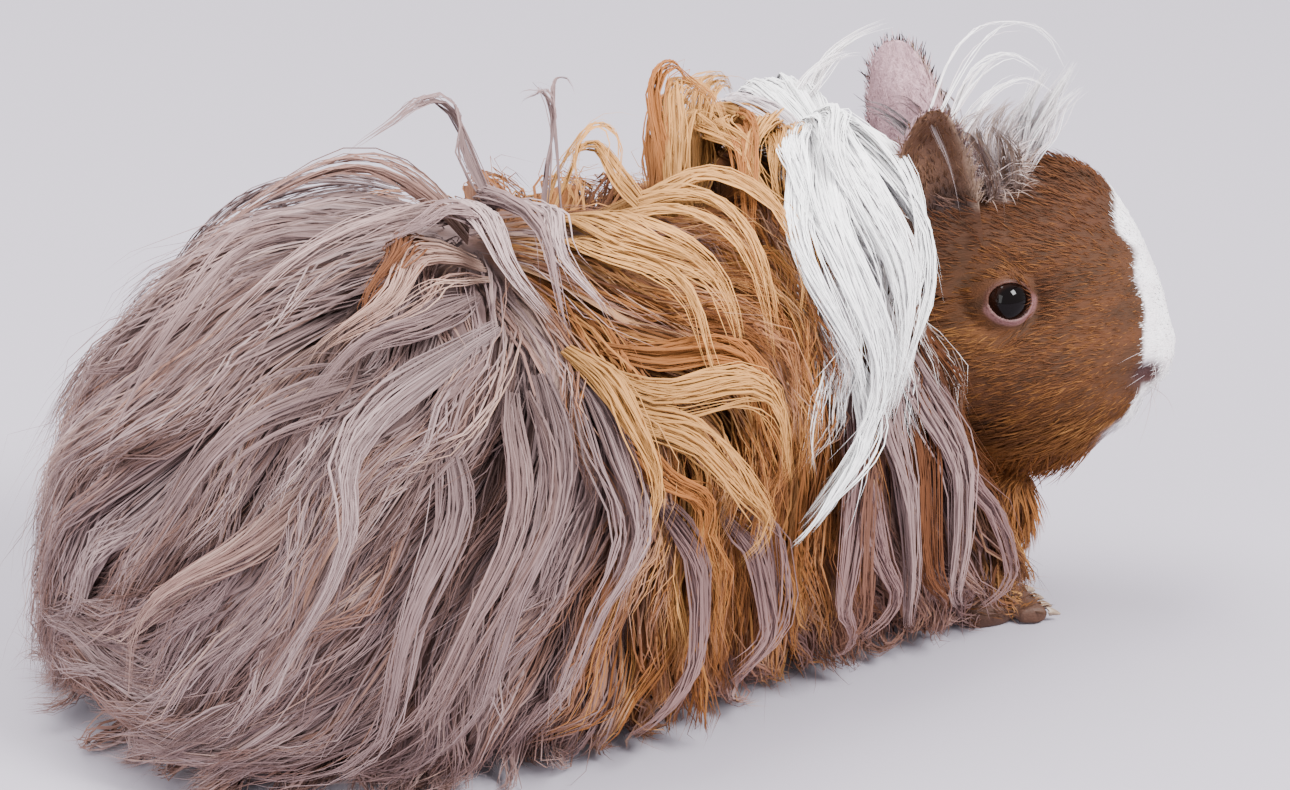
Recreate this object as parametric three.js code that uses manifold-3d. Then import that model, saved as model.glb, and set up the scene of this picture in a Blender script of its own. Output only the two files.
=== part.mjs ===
// A long-haired guinea pig standing with its head turned a little to its right, life size.
// Frame while it is modelled: millimetres, +X towards the nose, +Y to the animal's left, +Z up,
// with X = 0 over the shoulders and the floor at Z = 0. The last lines centre it on the origin.
import * as THREE from "three";
import { mergeVertices } from "three/addons/utils/BufferGeometryUtils.js";
import Module from "manifold-3d";

const wasm = await Module();
wasm.setup();

// ---- Driving dimensions ----
const GAP = 0.35; // air between neighbouring pieces
const FINEST = 0.08; // facets that stand out by less than this are merged
const FINEST_HAIR = 0.5; // the same, where hair meets hair
const REAR_X = -156; // hindmost point of the coat over the rump
const HIP_X = -66; // where the coat is highest and widest
const FRONT_X = 80; // foremost point of the chest
const COAT_FLOOR = 1.2; // height of the coat's hem over the floor
const RUMP_HALF_WIDTH = 77;
const HEM_SHARE = 0.87; // the hem's width as a share of the widest place above it
const RUMP_TOP = 121;
const RUMP_MIDDLE = 42; // height at which the rump is widest
const RUMP_ROUND = 2.4; // how full the rump is in plan: 2 is an ellipse
const CHEST_END = 13; // length over which the chest rounds off
const REAR_END = 9; // length over which the coat's base rounds off at the rear
const HEAD_PIVOT = new THREE.Vector3(50, 0, 0); // the neck's turning point
const HEAD_TURN = -15; // degrees about +Z, towards the animal's right
const NOSE = [69, 65]; // the nose tip: length from the pivot, height
const EYE = { radius: 5.6, x: 24.3, y: 18.2, z: 82 };
const EAR = { height: 45, width: 25, thickness: 2.4, x: 11, y: 15.5, z: 90, out: 5, back: 16, turn: 22 };
const THROAT = { x: 77, y: -7, z: 24, length: 26, width: 34, height: 38 };
const FORE_PAW = { x: 69, y: 24, length: 22, width: 14, height: 10, toes: 4 };
const HIND_PAW = { x: -62, y: 33, length: 38, width: 15, height: 11, toes: 3 };
const CLAW_LENGTH = 6;
const SIDES = [
  { name: "right", y: -1 },
  { name: "left", y: 1 },
];

const COLOURS = {
  lilac: "#9c8481",
  ginger: "#b07a4c",
  white: "#efe6ec",
  face: "#70482c",
  muzzle: "#dfd0d8",
  ear: "#57402f",
  eye: "#1c1214",
  skin: "#b08a7e",
  claw: "#cbb8a4",
};

// ---- Small helpers ----
const lerp = THREE.MathUtils.lerp;
const rad = THREE.MathUtils.degToRad;
const v = (x, y, z) => new THREE.Vector3(x, y, z);
const signedPower = (value, power) => Math.sign(value) * Math.abs(value) ** power;

/** The rise of a round end: 0 at share 0, 1 at share 1, rounder the nearer its power is to 2. */
function dome(share, power = 2) {
  const s = THREE.MathUtils.clamp(share, 0, 1);
  return (1 - (1 - s) ** power) ** (1 / power);
}

/** A smooth value through stations [[x, value], ...], level past both ends. */
function track(stations) {
  const last = stations.length - 1;
  const slopes = stations.map((_, i) => {
    const before = stations[Math.max(i - 1, 0)];
    const after = stations[Math.min(i + 1, last)];
    return (after[1] - before[1]) / (after[0] - before[0]);
  });
  return (x) => {
    if (x <= stations[0][0]) return stations[0][1];
    if (x >= stations[last][0]) return stations[last][1];
    const i = stations.findIndex((station) => station[0] > x) - 1;
    const [x0, y0] = stations[i];
    const [x1, y1] = stations[i + 1];
    const t = (x - x0) / (x1 - x0);
    const ease = t * t * (3 - 2 * t);
    const curve = t * (1 - t) * ((1 - t) * slopes[i] - t * slopes[i + 1]) * (x1 - x0);
    return lerp(y0, y1, ease) + curve;
  };
}

/** Numbers between 0 and 1 that look random but are the same in every run. */
function seeded(seed) {
  let state = seed;
  return () => {
    state = (state * 1664525 + 1013904223) % 4294967296;
    return state / 4294967296;
  };
}

/** A closed skin over a sphere's grid: place(t, angle) gives the point at share t of its length. */
function blob(around, along, place) {
  const geometry = new THREE.SphereGeometry(1, around, along);
  const uv = geometry.getAttribute("uv");
  const position = geometry.getAttribute("position");
  for (let i = 0; i < position.count; i++) {
    const row = Math.round((1 - uv.getY(i)) * along);
    const column = Math.floor(i % (around + 1)) % around;
    const p = place(row / along, (column / around) * 2 * Math.PI);
    position.setXYZ(i, p.x, p.y, p.z);
  }
  return solidOf(geometry);
}

/** A three.js geometry as a manifold solid, turned so that its faces point outwards. */
function solidOf(geometry) {
  const bare = geometry.clone();
  bare.deleteAttribute("normal");
  bare.deleteAttribute("uv");
  const merged = mergeVertices(bare, 1e-4);
  const index = merged.index.array;
  const kept = [];
  for (let i = 0; i < index.length; i += 3) {
    const [a, b, c] = index.slice(i, i + 3);
    if (a !== b && b !== c && c !== a) kept.push(a, b, c);
  }
  const at = merged.getAttribute("position");
  const corner = (i) => v().fromBufferAttribute(at, i);
  let volume = 0;
  for (let i = 0; i < kept.length; i += 3)
    volume += corner(kept[i]).dot(corner(kept[i + 1]).cross(corner(kept[i + 2])));
  if (volume < 0) kept.reverse();
  return new wasm.Manifold(
    new wasm.Mesh({ numProp: 3, vertProperties: at.array, triVerts: new Uint32Array(kept) }),
  );
}

/** The same solid moved by a three.js matrix. */
const moved = (solid, matrix) => solid.transform(matrix.elements);

/** Several solids that touch, joined into one. */
const joined = (solids) => solids.reduce((a, b) => a.add(b));

/** The largest of a solid's bodies, without the slivers that a cut leaves. */
function whole(solid) {
  const bodies = solid.simplify(FINEST).decompose();
  return bodies.reduce((a, b) => (a.volume() > b.volume() ? a : b));
}

/** A large box that begins at a point and faces along a direction. */
function halfSpace(point, direction) {
  const size = 700;
  const toward = direction.clone().normalize();
  const turn = new THREE.Quaternion().setFromUnitVectors(v(0, 0, 1), toward);
  const middle = point.clone().addScaledVector(toward, size / 2);
  const place = new THREE.Matrix4().compose(middle, turn, v(1, 1, 1));
  return moved(solidOf(new THREE.BoxGeometry(size, size, size)), place);
}

/** Parts a solid by a thin cut: [what lies behind the plane, what lies past it]. */
function part(solid, point, direction) {
  const half = direction.clone().normalize().multiplyScalar(GAP / 2);
  const behind = halfSpace(point.clone().sub(half), direction.clone().negate());
  const past = halfSpace(point.clone().add(half), direction);
  return [solid.intersect(behind), solid.intersect(past)];
}

const animal = new THREE.Group();

/** Adds a solid to the animal as a named mesh. */
function piece(name, solid, colour, roughness = 0.85) {
  const mesh = whole(solid).getMesh();
  const geometry = new THREE.BufferGeometry();
  geometry.setAttribute("position", new THREE.BufferAttribute(mesh.vertProperties, 3));
  geometry.setIndex(new THREE.BufferAttribute(mesh.triVerts, 1));
  const material = new THREE.MeshStandardMaterial({ color: colour, roughness, metalness: 0 });
  const made = new THREE.Mesh(geometry, material);
  made.name = name;
  animal.add(made);
}

// ---- Trunk: the body in its long coat, from the rump to the chest ----

const backLine = track([
  [-66, RUMP_TOP], [-45, 118], [-22, 114], [0, 117], [16, 123], [28, 128],
  [37, 125], [44, 112], [50, 96], [57, 74], [65, 54], [73, 41], [FRONT_X, 32],
]);
const flankLine = track([
  [-66, RUMP_HALF_WIDTH], [-45, 75], [-20, 67], [2, 58], [22, 51], [38, 45], [50, 40], [62, 37], [72, 33],
  [FRONT_X, 28],
]);
const middleLine = track([[REAR_X, 34], [HIP_X, RUMP_MIDDLE], [0, 46], [40, 46], [62, 32], [FRONT_X, 17]]);

/** The trunk's section at a place along it: half-width, and the heights of its top, middle, base. */
function trunkSection(x) {
  const rear = (x - REAR_X) / (HIP_X - REAR_X);
  const front = (FRONT_X - x) / CHEST_END;
  const middle = middleLine(x);
  const top = x < HIP_X ? middle + (RUMP_TOP - middle) * dome(rear, 1.85) : backLine(x);
  const half = x < HIP_X ? RUMP_HALF_WIDTH * dome(rear, RUMP_ROUND) : flankLine(x);
  return {
    half: half * dome(front),
    top: middle + (top - middle) * dome(front),
    middle,
    base: middle - (middle - COAT_FLOOR) * dome((x - REAR_X) / REAR_END) * dome(front, 2.6),
  };
}

/** A point of the trunk's surface at x, with angle 0 on its left side and 90 degrees on its back. */
function trunkSurface(x, angle) {
  const section = trunkSection(x);
  const up = Math.sin(angle);
  const roundness = up > 0 ? 0.94 : 0.4;
  const high = signedPower(up, roundness);
  const reach = up > 0 ? section.top - section.middle : section.middle - section.base;
  const across = signedPower(Math.cos(angle), roundness);
  return v(x, across * section.half, section.middle + high * reach);
}

/** The way out of the trunk's surface at x and angle. */
function trunkNormal(x, angle) {
  const step = 0.5;
  const along = trunkSurface(x + step, angle).sub(trunkSurface(x - step, angle));
  const round = trunkSurface(x, angle + 0.02).sub(trunkSurface(x, angle - 0.02));
  return along.cross(round).normalize().negate();
}

const smoothTrunk = blob(26, 24, (t, angle) => {
  const share = (1 - Math.cos(Math.PI * t)) / 2;
  return trunkSurface(lerp(REAR_X, FRONT_X, share), angle);
});

// ---- Locks: tapered, flattened, curved strips of hair ----

/** A lock along a path of points, broad across the path and thin along `out`. */
function lock({ path, out, width, depth, sides = 4, steps = 5, blunt = 2.2 }) {
  const curve = new THREE.CatmullRomCurve3(path);
  return blob(sides, steps, (t, angle) => {
    const at = curve.getPoint(t);
    const ahead = curve.getTangent(t);
    const side = v().crossVectors(ahead, out).normalize();
    const face = v().crossVectors(side, ahead).normalize();
    const girth = dome(t / 0.2) * (1 - t ** blunt) ** 0.8;
    at.addScaledVector(side, (Math.cos(angle) * girth * width) / 2);
    at.addScaledVector(face, (Math.sin(angle) * girth * depth) / 2);
    return at;
  });
}

/** Where a lock runs over the coat: from one [x, degrees] to another, bowed, with its tip raised. */
function coatPath({ from, to, bow = 0, rise = 2, tip = 1, root = -3 }) {
  const points = [];
  const travel = trunkSurface(to[0], rad(to[1])).sub(trunkSurface(from[0], rad(from[1])));
  for (const s of [0, 0.25, 0.5, 0.75, 1]) {
    const x = lerp(from[0], to[0], s);
    const angle = rad(lerp(from[1], to[1], s));
    const out = trunkNormal(x, angle);
    const side = v().crossVectors(out, travel).normalize();
    const height = lerp(root, tip, s) + rise * Math.sin(Math.PI * s);
    const at = trunkSurface(x, angle).addScaledVector(out, height);
    at.addScaledVector(side, bow * Math.sin(Math.PI * s));
    at.z = Math.max(at.z, COAT_FLOOR + 2.2);
    points.push(at);
  }
  return points;
}

/** A lock that lies on the coat. */
function coatLock({ width = 12, depth = 5, ...run }) {
  const middleX = (run.from[0] + run.to[0]) / 2;
  const out = trunkNormal(middleX, rad((run.from[1] + run.to[1]) / 2));
  return lock({ path: coatPath(run), out, width, depth });
}

/** The hem's outline in plan: share 0 at the right of the chest, 0.5 at the tail, 1 at the left. */
function hemPlace(share) {
  const side = share < 0.5 ? -1 : 1;
  const run = 1 - Math.abs(share - 0.5) * 2;
  const straight = 0.52; // share of the run that lies along the flank
  if (run < straight) {
    const x = lerp(62, HIP_X, run / straight);
    return v(x, side * flankLine(x) * HEM_SHARE, 0);
  }
  const turn = ((run - straight) / (1 - straight)) * (Math.PI / 2);
  const x = HIP_X - (HIP_X - REAR_X) * 0.96 * Math.sin(turn) ** (2 / RUMP_ROUND);
  return v(x, side * RUMP_HALF_WIDTH * HEM_SHARE * Math.cos(turn) ** (2 / RUMP_ROUND), 0);
}

/** Locks that hang from the flanks to the floor all round, swept towards the tail. */
function hemLocks(count) {
  const random = seeded(11);
  return Array.from({ length: count }, (_, i) => {
    const share = (i + 0.5) / count;
    const foot = hemPlace(share);
    const out = v(foot.x + 40, foot.y * 1.6, 0).normalize();
    if (foot.x > HIP_X) out.set(-0.15, Math.sign(foot.y), 0).normalize();
    const back = v(-1, 0, 0).multiplyScalar(foot.x > REAR_X + 25 ? 9 + 9 * random() : 0);
    const flare = 3 + 6 * random();
    const height = 40 + 14 * random();
    const path = [
      foot.clone().addScaledVector(out, -13).addScaledVector(back, -1).setZ(height),
      foot.clone().addScaledVector(out, -2).setZ(height * 0.45),
      foot.clone().addScaledVector(out, flare * 0.4).addScaledVector(back, 0.5).setZ(9),
      foot.clone().addScaledVector(out, flare).add(back).setZ(COAT_FLOOR + 1.4),
    ];
    return lock({ path, out, width: 15 + 9 * random(), depth: 9, steps: 4, blunt: 1.6 });
  });
}

/** Locks that part the rump's and the flanks' coat, swept back and down from the spine. */
function flankLocks() {
  const random = seeded(5);
  const spacing = 40;
  const locks = [];
  for (const side of SIDES)
    for (const [row, height] of [64, 36, 8].entries())
      for (let x = -26 - 12 * row; x > REAR_X + 34; x -= spacing) {
        const start = side.y > 0 ? height : 180 - height;
        const fall = (22 + 10 * random()) * (side.y > 0 ? -1 : 1);
        const from = [x, start];
        const to = [Math.max(x - 30 - 8 * random(), REAR_X + 7), start + fall];
        locks.push(coatLock({ from, to, bow: 5 * (random() - 0.5), width: 15, depth: 6, rise: 2.4 }));
      }
  return locks;
}

const rumpPlumes = [
  { from: [-62, 96], to: [-104, 118], bow: 5, tip: 5, rise: 6, width: 13 },
  { from: [-27, 92], to: [-41, 89], tip: 25, rise: 3, width: 7, depth: 4, root: -5 },
  { from: [-96, 88], to: [-134, 84], tip: 7, rise: 5, width: 15 },
  { from: [-67, 130], to: [-146, 196], bow: -6, tip: 2, rise: 4, width: 14 },
].map(coatLock);

const saddleTufts = [
  { from: [-12, 96], to: [9, 86], tip: -3, rise: 23, width: 9, depth: 7, root: -5 },
  { from: [-14, 104], to: [-33, 92], bow: 5, tip: 3, rise: 9, width: 8 },
  { from: [-32, 94], to: [-8, 141], bow: -5, tip: 2, rise: 5, width: 10 },
  { from: [-40, 134], to: [-50, 180], bow: 8, tip: 2, rise: 5, width: 9 },
  { from: [-36, 147], to: [-19, 177], bow: 21, tip: 3, rise: 7, width: 9, depth: 7 },
  { from: [-34, 155], to: [-22, 178], bow: 10, tip: 3, rise: 6, width: 7, depth: 6 },
].map(coatLock);

const collarLocks = [
  { from: [18, 96], to: [11, 158], bow: -4, tip: 2, rise: 4, width: 13 },
  { from: [33, 94], to: [19, 178], bow: 7, tip: 3, rise: 5, width: 14 },
  { from: [32, 112], to: [1, 184], bow: 16, tip: 3, rise: 5, width: 12 },
  { from: [24, 80], to: [16, 18], bow: -6, tip: 3, rise: 4, width: 14 },
  { from: [34, 74], to: [26, 2], bow: -7, tip: 3, rise: 4, width: 13 },
].map(coatLock);

const chestLocks = [
  { from: [38, 150], to: [32, 212], bow: 4, tip: 3, rise: 3, width: 12 },
  { from: [46, 150], to: [52, 214], bow: 5, tip: 3, rise: 3, width: 11 },
  { from: [58, 150], to: [64, 210], bow: 4, tip: 2, rise: 2, width: 10 },
  { from: [40, 30], to: [36, -34], bow: -4, tip: 3, rise: 3, width: 12 },
  { from: [54, 26], to: [56, -32], bow: -4, tip: 3, rise: 3, width: 12 },
].map(coatLock);

// ---- Head, in its own frame: +X towards the nose from the pivot ----

/** A curve through [x, z] points of the head's outline. */
const outline = (points) => new THREE.SplineCurve(points.map(([x, z]) => new THREE.Vector2(x, z)));

const crown = outline([
  [-9, 76], [-7, 92], [1, 104], [13, 110], [27, 112], [40, 112], [50, 107], [57, 98], [62.5, 87], [66.6, 76],
  NOSE,
]);
const jaw = outline([
  [-9, 76], [-6, 56], [3, 42], [14, 35], [26, 32], [37, 31.5], [47, 34.5], [55, 40.5], [62, 47.5], [67, 56],
  NOSE,
]);
const cheek = track([
  [0, 0], [0.05, 12], [0.15, 20], [0.3, 24.6], [0.45, 25.4], [0.58, 23.4], [0.7, 19.6], [0.8, 16],
  [0.9, 12], [0.96, 8], [1, 0],
]);

function headPoint(t, angle, grow = 0) {
  const top = crown.getPoint(t);
  const base = jaw.getPoint(t);
  const up = Math.sin(angle);
  const high = signedPower(up, 0.92);
  const level = 0.42 + (up > 0 ? 0.58 : 0.42) * high;
  const narrowing = 1 - 0.36 * Math.max(0, high) ** 1.2 - 0.12 * Math.max(0, -high) ** 2;
  const half = cheek(t) * narrowing;
  const across = signedPower(Math.cos(angle), 0.8) * half;
  const at = v(lerp(base.x, top.x, level), across, lerp(base.y, top.y, level));
  const centre = v(lerp(8, 48, t), 0, 70);
  return at.addScaledVector(at.clone().sub(centre).normalize(), grow);
}

const headPlace = new THREE.Matrix4()
  .makeTranslation(HEAD_PIVOT.x, HEAD_PIVOT.y, HEAD_PIVOT.z)
  .multiply(new THREE.Matrix4().makeRotationZ(rad(HEAD_TURN)));
const inHead = (x, y, z) => v(x, y, z).applyMatrix4(headPlace);

const headBlob = (grow) => moved(blob(17, 16, (t, angle) => headPoint(t, angle, grow)), headPlace);

/** An eyeball, which grows by the gap where the head is cut for it. */
function eyeball(side, grow = 0) {
  const at = inHead(EYE.x, side.y * EYE.y, EYE.z);
  const ball = solidOf(new THREE.SphereGeometry(EYE.radius + grow, 10, 8));
  return moved(ball, new THREE.Matrix4().makeTranslation(at.x, at.y, at.z));
}

/** An ear: a petal with a hollow front, leaning out and back. */
function ear(side, grow = 0) {
  const petal = blob(10, 7, (t, angle) => {
    const height = lerp(-8, EAR.height, (1 - Math.cos(Math.PI * t)) / 2);
    const girth = Math.sin(Math.PI * t) ** 0.8 * (1 - 0.25 * t);
    const across = (Math.cos(angle) * (EAR.width * girth)) / 2;
    const thick = EAR.thickness / 2 + grow;
    const hollow = 0.016 * across * across + 0.006 * (height - 16) ** 2;
    return v(across, side.y * (hollow + Math.sin(angle) * girth ** 0.4 * thick), height);
  });
  const stand = new THREE.Matrix4().makeRotationFromEuler(
    new THREE.Euler(rad(-side.y * EAR.out), rad(-EAR.back), rad(-side.y * EAR.turn), "ZYX"),
  );
  const foot = new THREE.Matrix4().makeTranslation(EAR.x, side.y * EAR.y, EAR.z);
  return moved(petal, headPlace.clone().multiply(foot).multiply(stand));
}

/** A wisp that springs from the head: `toward` degrees round from the nose, curling over its top. */
function wisp({ root, toward, reach, height, curl = 0.8, width = 5, depth = 3 }) {
  const away = v(Math.cos(rad(toward)), Math.sin(rad(toward)), 0);
  const path = [0, 0.25, 0.5, 0.75, 1].map((s) => {
    const at = v(...root).addScaledVector(away, reach * s ** 1.3);
    at.z += height * Math.sin(Math.PI * curl * s);
    return at.applyMatrix4(headPlace);
  });
  const out = v(-away.y, away.x, 0).applyAxisAngle(v(0, 0, 1), rad(HEAD_TURN));
  return lock({ path, out: out.cross(v(0, 0, 1)), width, depth });
}

const crestMound = moved(
  blob(8, 6, (t, angle) => {
    const ring = Math.sin(Math.PI * t);
    return v(22 - 19 * Math.cos(Math.PI * t), 12 * ring * Math.cos(angle), 107 + 9 * ring * Math.sin(angle));
  }),
  headPlace,
);
const crestWisps = [
  { root: [10, -4, 107], toward: 172, reach: 30, height: 24, curl: 0.62 },
  { root: [14, 4, 107], toward: 160, reach: 20, height: 28, curl: 0.75 },
  { root: [8, 2, 107], toward: 12, reach: 36, height: 34, curl: 0.85 },
  { root: [18, -3, 108], toward: -14, reach: 24, height: 26, curl: 0.85 },
  { root: [24, 3, 108], toward: 12, reach: 18, height: 22, curl: 0.7 },
].map(wisp);

// ---- Legs, paws and claws ----

/** A tapered limb from a point down to another, with its radius at both. */
function limb(top, foot, topRadius, footRadius, grow = 0) {
  return blob(8, 5, (t, angle) => {
    const share = (1 - Math.cos(Math.PI * t)) / 2;
    const radius = (lerp(topRadius, footRadius, share) + grow) * Math.sin(Math.PI * t) ** 0.5;
    const at = v().lerpVectors(top, foot, share);
    at.z += t < 0.5 ? grow : -grow;
    return at.add(v(Math.cos(angle) * radius * 1.2, Math.sin(angle) * radius, 0));
  });
}

/** Where a paw's toes begin, across the paw, as shares of its width. */
const toeShares = (paw) => Array.from({ length: paw.toes }, (_, i) => (i + 0.5) / paw.toes - 0.5);

/** A paw with a flat sole on the floor and a round toe under each claw. */
function paw(shape, side, grow = 0) {
  const heel = shape.x - shape.length / 2;
  const palm = blob(8, 6, (t, angle) => {
    const ring = Math.sin(Math.PI * t) ** 0.7;
    const high = Math.max(Math.sin(angle), -0.75);
    const x = heel + shape.length * 0.36 * (1 - Math.cos(Math.PI * t)) - Math.cos(Math.PI * t) * grow;
    const y = side.y * shape.y + Math.cos(angle) * ring * (shape.width * 0.46 + grow);
    return v(x, y, shape.height * 0.34 + high * ring * (shape.height * 0.62 + grow));
  });
  const toes = toeShares(shape).map((share) =>
    blob(5, 4, (t, angle) => {
      const ring = Math.sin(Math.PI * t) ** 0.7;
      const radius = shape.width / shape.toes / 2 + 0.5 + grow;
      const end = -Math.cos(Math.PI * t);
      const x = heel + shape.length * (0.62 + 0.19 * (1 + end)) + end * grow;
      const y = side.y * shape.y + share * shape.width * (0.9 + 0.35 * t);
      return v(x, y + Math.cos(angle) * ring * radius, 2.3 + Math.sin(angle) * ring * (radius + 0.8));
    }),
  );
  const sole = halfSpace(v(shape.x, 0, -grow), v(0, 0, 1));
  return joined([palm, ...toes]).intersect(sole);
}

/** A claw: a short curved horn that starts inside its toe. */
function claw(shape, side, share) {
  const tip = shape.x + shape.length / 2;
  const y = side.y * shape.y + share * shape.width * 1.25;
  return blob(4, 4, (t, angle) => {
    const radius = lerp(1.6, 0.5, t) * Math.sin(Math.PI * t) ** 0.5;
    const drop = 3.1 - 1.7 * t * t;
    const x = tip - 2.2 + CLAW_LENGTH * t;
    return v(x, y + share * 2 * t + Math.cos(angle) * radius, drop + Math.sin(angle) * radius * 1.2);
  });
}

const legs = [
  { name: "fore", shape: FORE_PAW, wrist: v(64, 24, 10), joint: v(56, 20, 40), radii: [9, 5.5] },
  { name: "hind", shape: HIND_PAW, wrist: v(-72, 33, 10), joint: v(-66, 31, 44), radii: [15, 7] },
];

/** The upper part of a leg, grown by the gap where its neighbours make room for it. */
function upperLeg(leg, side, grow = 0) {
  const at = (point) => v(point.x, point.y * side.y, point.z);
  return limb(at(leg.joint), at(leg.wrist), ...leg.radii, grow);
}

/** The plain hollow in the coat in which a paw and its claws stand. */
function pawHollow(shape, side) {
  const reach = shape.length / 2 + CLAW_LENGTH;
  return blob(8, 5, (t, angle) => {
    const ring = Math.sin(Math.PI * t) ** 0.45;
    const x = shape.x + 1 - (reach + 1) * Math.cos(Math.PI * t);
    const y = side.y * shape.y + signedPower(Math.cos(angle), 0.6) * ring * (shape.width * 0.75 + 1);
    return v(x, y, signedPower(Math.sin(angle), 0.6) * ring * (shape.height + 1));
  });
}

/** The fur that hangs under the jaw and joins the head to the chest. */
const throat = moved(
  blob(12, 8, (t, angle) => {
    const ring = Math.sin(Math.PI * t) / 2;
    const across = THROAT.width * ring * Math.cos(angle);
    return v((-THROAT.length / 2) * Math.cos(Math.PI * t), across, THROAT.height * ring * Math.sin(angle));
  }),
  new THREE.Matrix4().makeTranslation(THROAT.x, THROAT.y, THROAT.z),
);

// ---- Assembly ----

const hair = joined([
  smoothTrunk, throat, ...hemLocks(22), ...flankLocks(), ...rumpPlumes, ...saddleTufts, ...collarLocks,
  ...chestLocks,
]).simplify(FINEST_HAIR);
let coat = hair.intersect(halfSpace(v(0, 0, COAT_FLOOR), v(0, 0, 1)));
coat = coat.subtract(headBlob(GAP));
for (const side of SIDES) {
  coat = coat.subtract(ear(side, GAP));
  for (const leg of legs) coat = coat.subtract(upperLeg(leg, side, GAP)).subtract(pawHollow(leg.shape, side));
}
const [behindSaddle, aheadOfRump] = part(coat, v(-42, 0, 60), v(1, 0, 0.12));
const [saddle, aheadOfSaddle] = part(aheadOfRump, v(12, 0, 60), v(1, 0, -0.1));
const [collar, chest] = part(aheadOfSaddle, v(46, 0, 52), v(0.62, 0, -0.8));
piece("rump", behindSaddle, COLOURS.lilac);
piece("saddle", saddle, COLOURS.ginger);
piece("shoulders", collar, COLOURS.white);
piece("chest", chest, COLOURS.ginger);

let headSolid = headBlob(0);
for (const side of SIDES) headSolid = headSolid.subtract(eyeball(side, GAP)).subtract(ear(side, GAP));
const muzzleCut = v(1, 0, -0.25).applyAxisAngle(v(0, 0, 1), rad(HEAD_TURN));
const [skull, muzzle] = part(headSolid, inHead(52, 0, 70), muzzleCut);
piece("head", skull, COLOURS.face);
piece("muzzle", muzzle, COLOURS.muzzle);

let crest = joined([crestMound, ...crestWisps]).subtract(headBlob(GAP));
for (const side of SIDES) crest = crest.subtract(ear(side, GAP));
piece("crest", crest.subtract(hair), COLOURS.white);

for (const side of SIDES) {
  piece(`ear_${side.name}`, ear(side), COLOURS.ear);
  piece(`eye_${side.name}`, eyeball(side), COLOURS.eye, 0.1);
  for (const leg of legs) {
    const shares = toeShares(leg.shape);
    const pawRoom = paw(leg.shape, side, GAP);
    piece(`${leg.name}leg_${side.name}`, upperLeg(leg, side).subtract(pawRoom), COLOURS.ginger);
    piece(`${leg.name}paw_${side.name}`, paw(leg.shape, side), COLOURS.skin);
    shares.forEach((share, i) => {
      const horn = claw(leg.shape, side, share).subtract(pawRoom);
      piece(`${leg.name}claw_${side.name}_${i + 1}`, horn, COLOURS.claw, 0.45);
    });
  }
}

const bounds = new THREE.Box3().setFromObject(animal);
const middle = bounds.getCenter(v());
animal.position.set(-middle.x, -middle.y, -bounds.min.z);
animal.updateMatrixWorld(true);

export default animal;
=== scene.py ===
"""A long-haired guinea pig, life size: one skin with eyes and claws, under a combed coat of solid tufts."""

import logging
import math
from collections.abc import Callable, Iterator
from contextlib import contextmanager
from dataclasses import dataclass, field
from enum import Enum
import bpy
import numpy as np
from mathutils import Euler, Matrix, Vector
from mathutils.bvhtree import BVHTree


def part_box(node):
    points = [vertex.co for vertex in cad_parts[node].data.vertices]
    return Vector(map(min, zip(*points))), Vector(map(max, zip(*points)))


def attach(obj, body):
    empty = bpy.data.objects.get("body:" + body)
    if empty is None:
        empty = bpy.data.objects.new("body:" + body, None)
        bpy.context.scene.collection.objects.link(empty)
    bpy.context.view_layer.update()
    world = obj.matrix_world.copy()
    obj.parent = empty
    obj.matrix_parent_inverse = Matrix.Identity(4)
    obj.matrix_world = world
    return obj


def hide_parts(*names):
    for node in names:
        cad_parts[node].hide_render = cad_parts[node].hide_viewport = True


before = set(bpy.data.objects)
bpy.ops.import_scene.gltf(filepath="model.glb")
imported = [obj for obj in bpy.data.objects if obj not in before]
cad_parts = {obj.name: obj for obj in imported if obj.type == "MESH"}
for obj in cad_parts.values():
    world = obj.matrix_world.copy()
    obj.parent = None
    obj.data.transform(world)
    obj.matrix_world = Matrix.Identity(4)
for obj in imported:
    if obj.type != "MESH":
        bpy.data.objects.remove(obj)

logging.basicConfig(level=logging.INFO, format="%(message)s")
LOG = logging.getLogger("guinea_pig")

Array = np.ndarray
MM = 0.001
TAU = 2 * math.pi
SIDES = (("right", -1), ("left", 1))
LEGS = ("fore", "hind")


# ---- Small helpers ----


def linear(colour: str) -> Array:
    """An sRGB hex colour as linear red, green and blue."""
    value = np.array([int(colour[i : i + 2], 16) / 255 for i in (1, 3, 5)])
    return np.where(value > 0.04045, ((value + 0.055) / 1.055) ** 2.4, value / 12.92)


def blend(a: Array, b: Array, share: Array) -> Array:
    """Mixes rows of b into rows of a by a share for each row."""
    share = np.asarray(share, float)[..., None]
    return a * (1 - share) + b * share


def ramp(value: Array, start: float, end: float) -> Array:
    """A smooth rise from 0 at start to 1 at end."""
    t = np.clip((np.asarray(value, float) - start) / (end - start), 0, 1)
    return t * t * (3 - 2 * t)


def hill(*sides: tuple[Array, float, float]) -> Array:
    """A round hill over values, each with its middle and width: 1 in the middle and 0 far off."""
    return np.exp(-sum(((value - middle) / width) ** 2 for value, middle, width in sides))


def unit(vectors: Array) -> Array:
    """Vectors scaled to length 1."""
    return vectors / np.maximum(np.linalg.norm(vectors, axis=-1, keepdims=True), 1e-9)


def flatten(vectors: Array, normals: Array) -> Array:
    """Vectors laid into the planes of unit normals, at length 1."""
    return unit(vectors - (vectors * normals).sum(-1, keepdims=True) * normals)


def signed_power(value: Array, power: float | Array) -> Array:
    """A power that keeps the value's sign."""
    return np.sign(value) * np.abs(value) ** power


def dome(share: Array, power: float = 2) -> Array:
    """The rise of a round end: 0 at share 0, 1 at share 1."""
    s = np.clip(share, 0, 1)
    return (1 - (1 - s) ** power) ** (1 / power)


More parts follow.
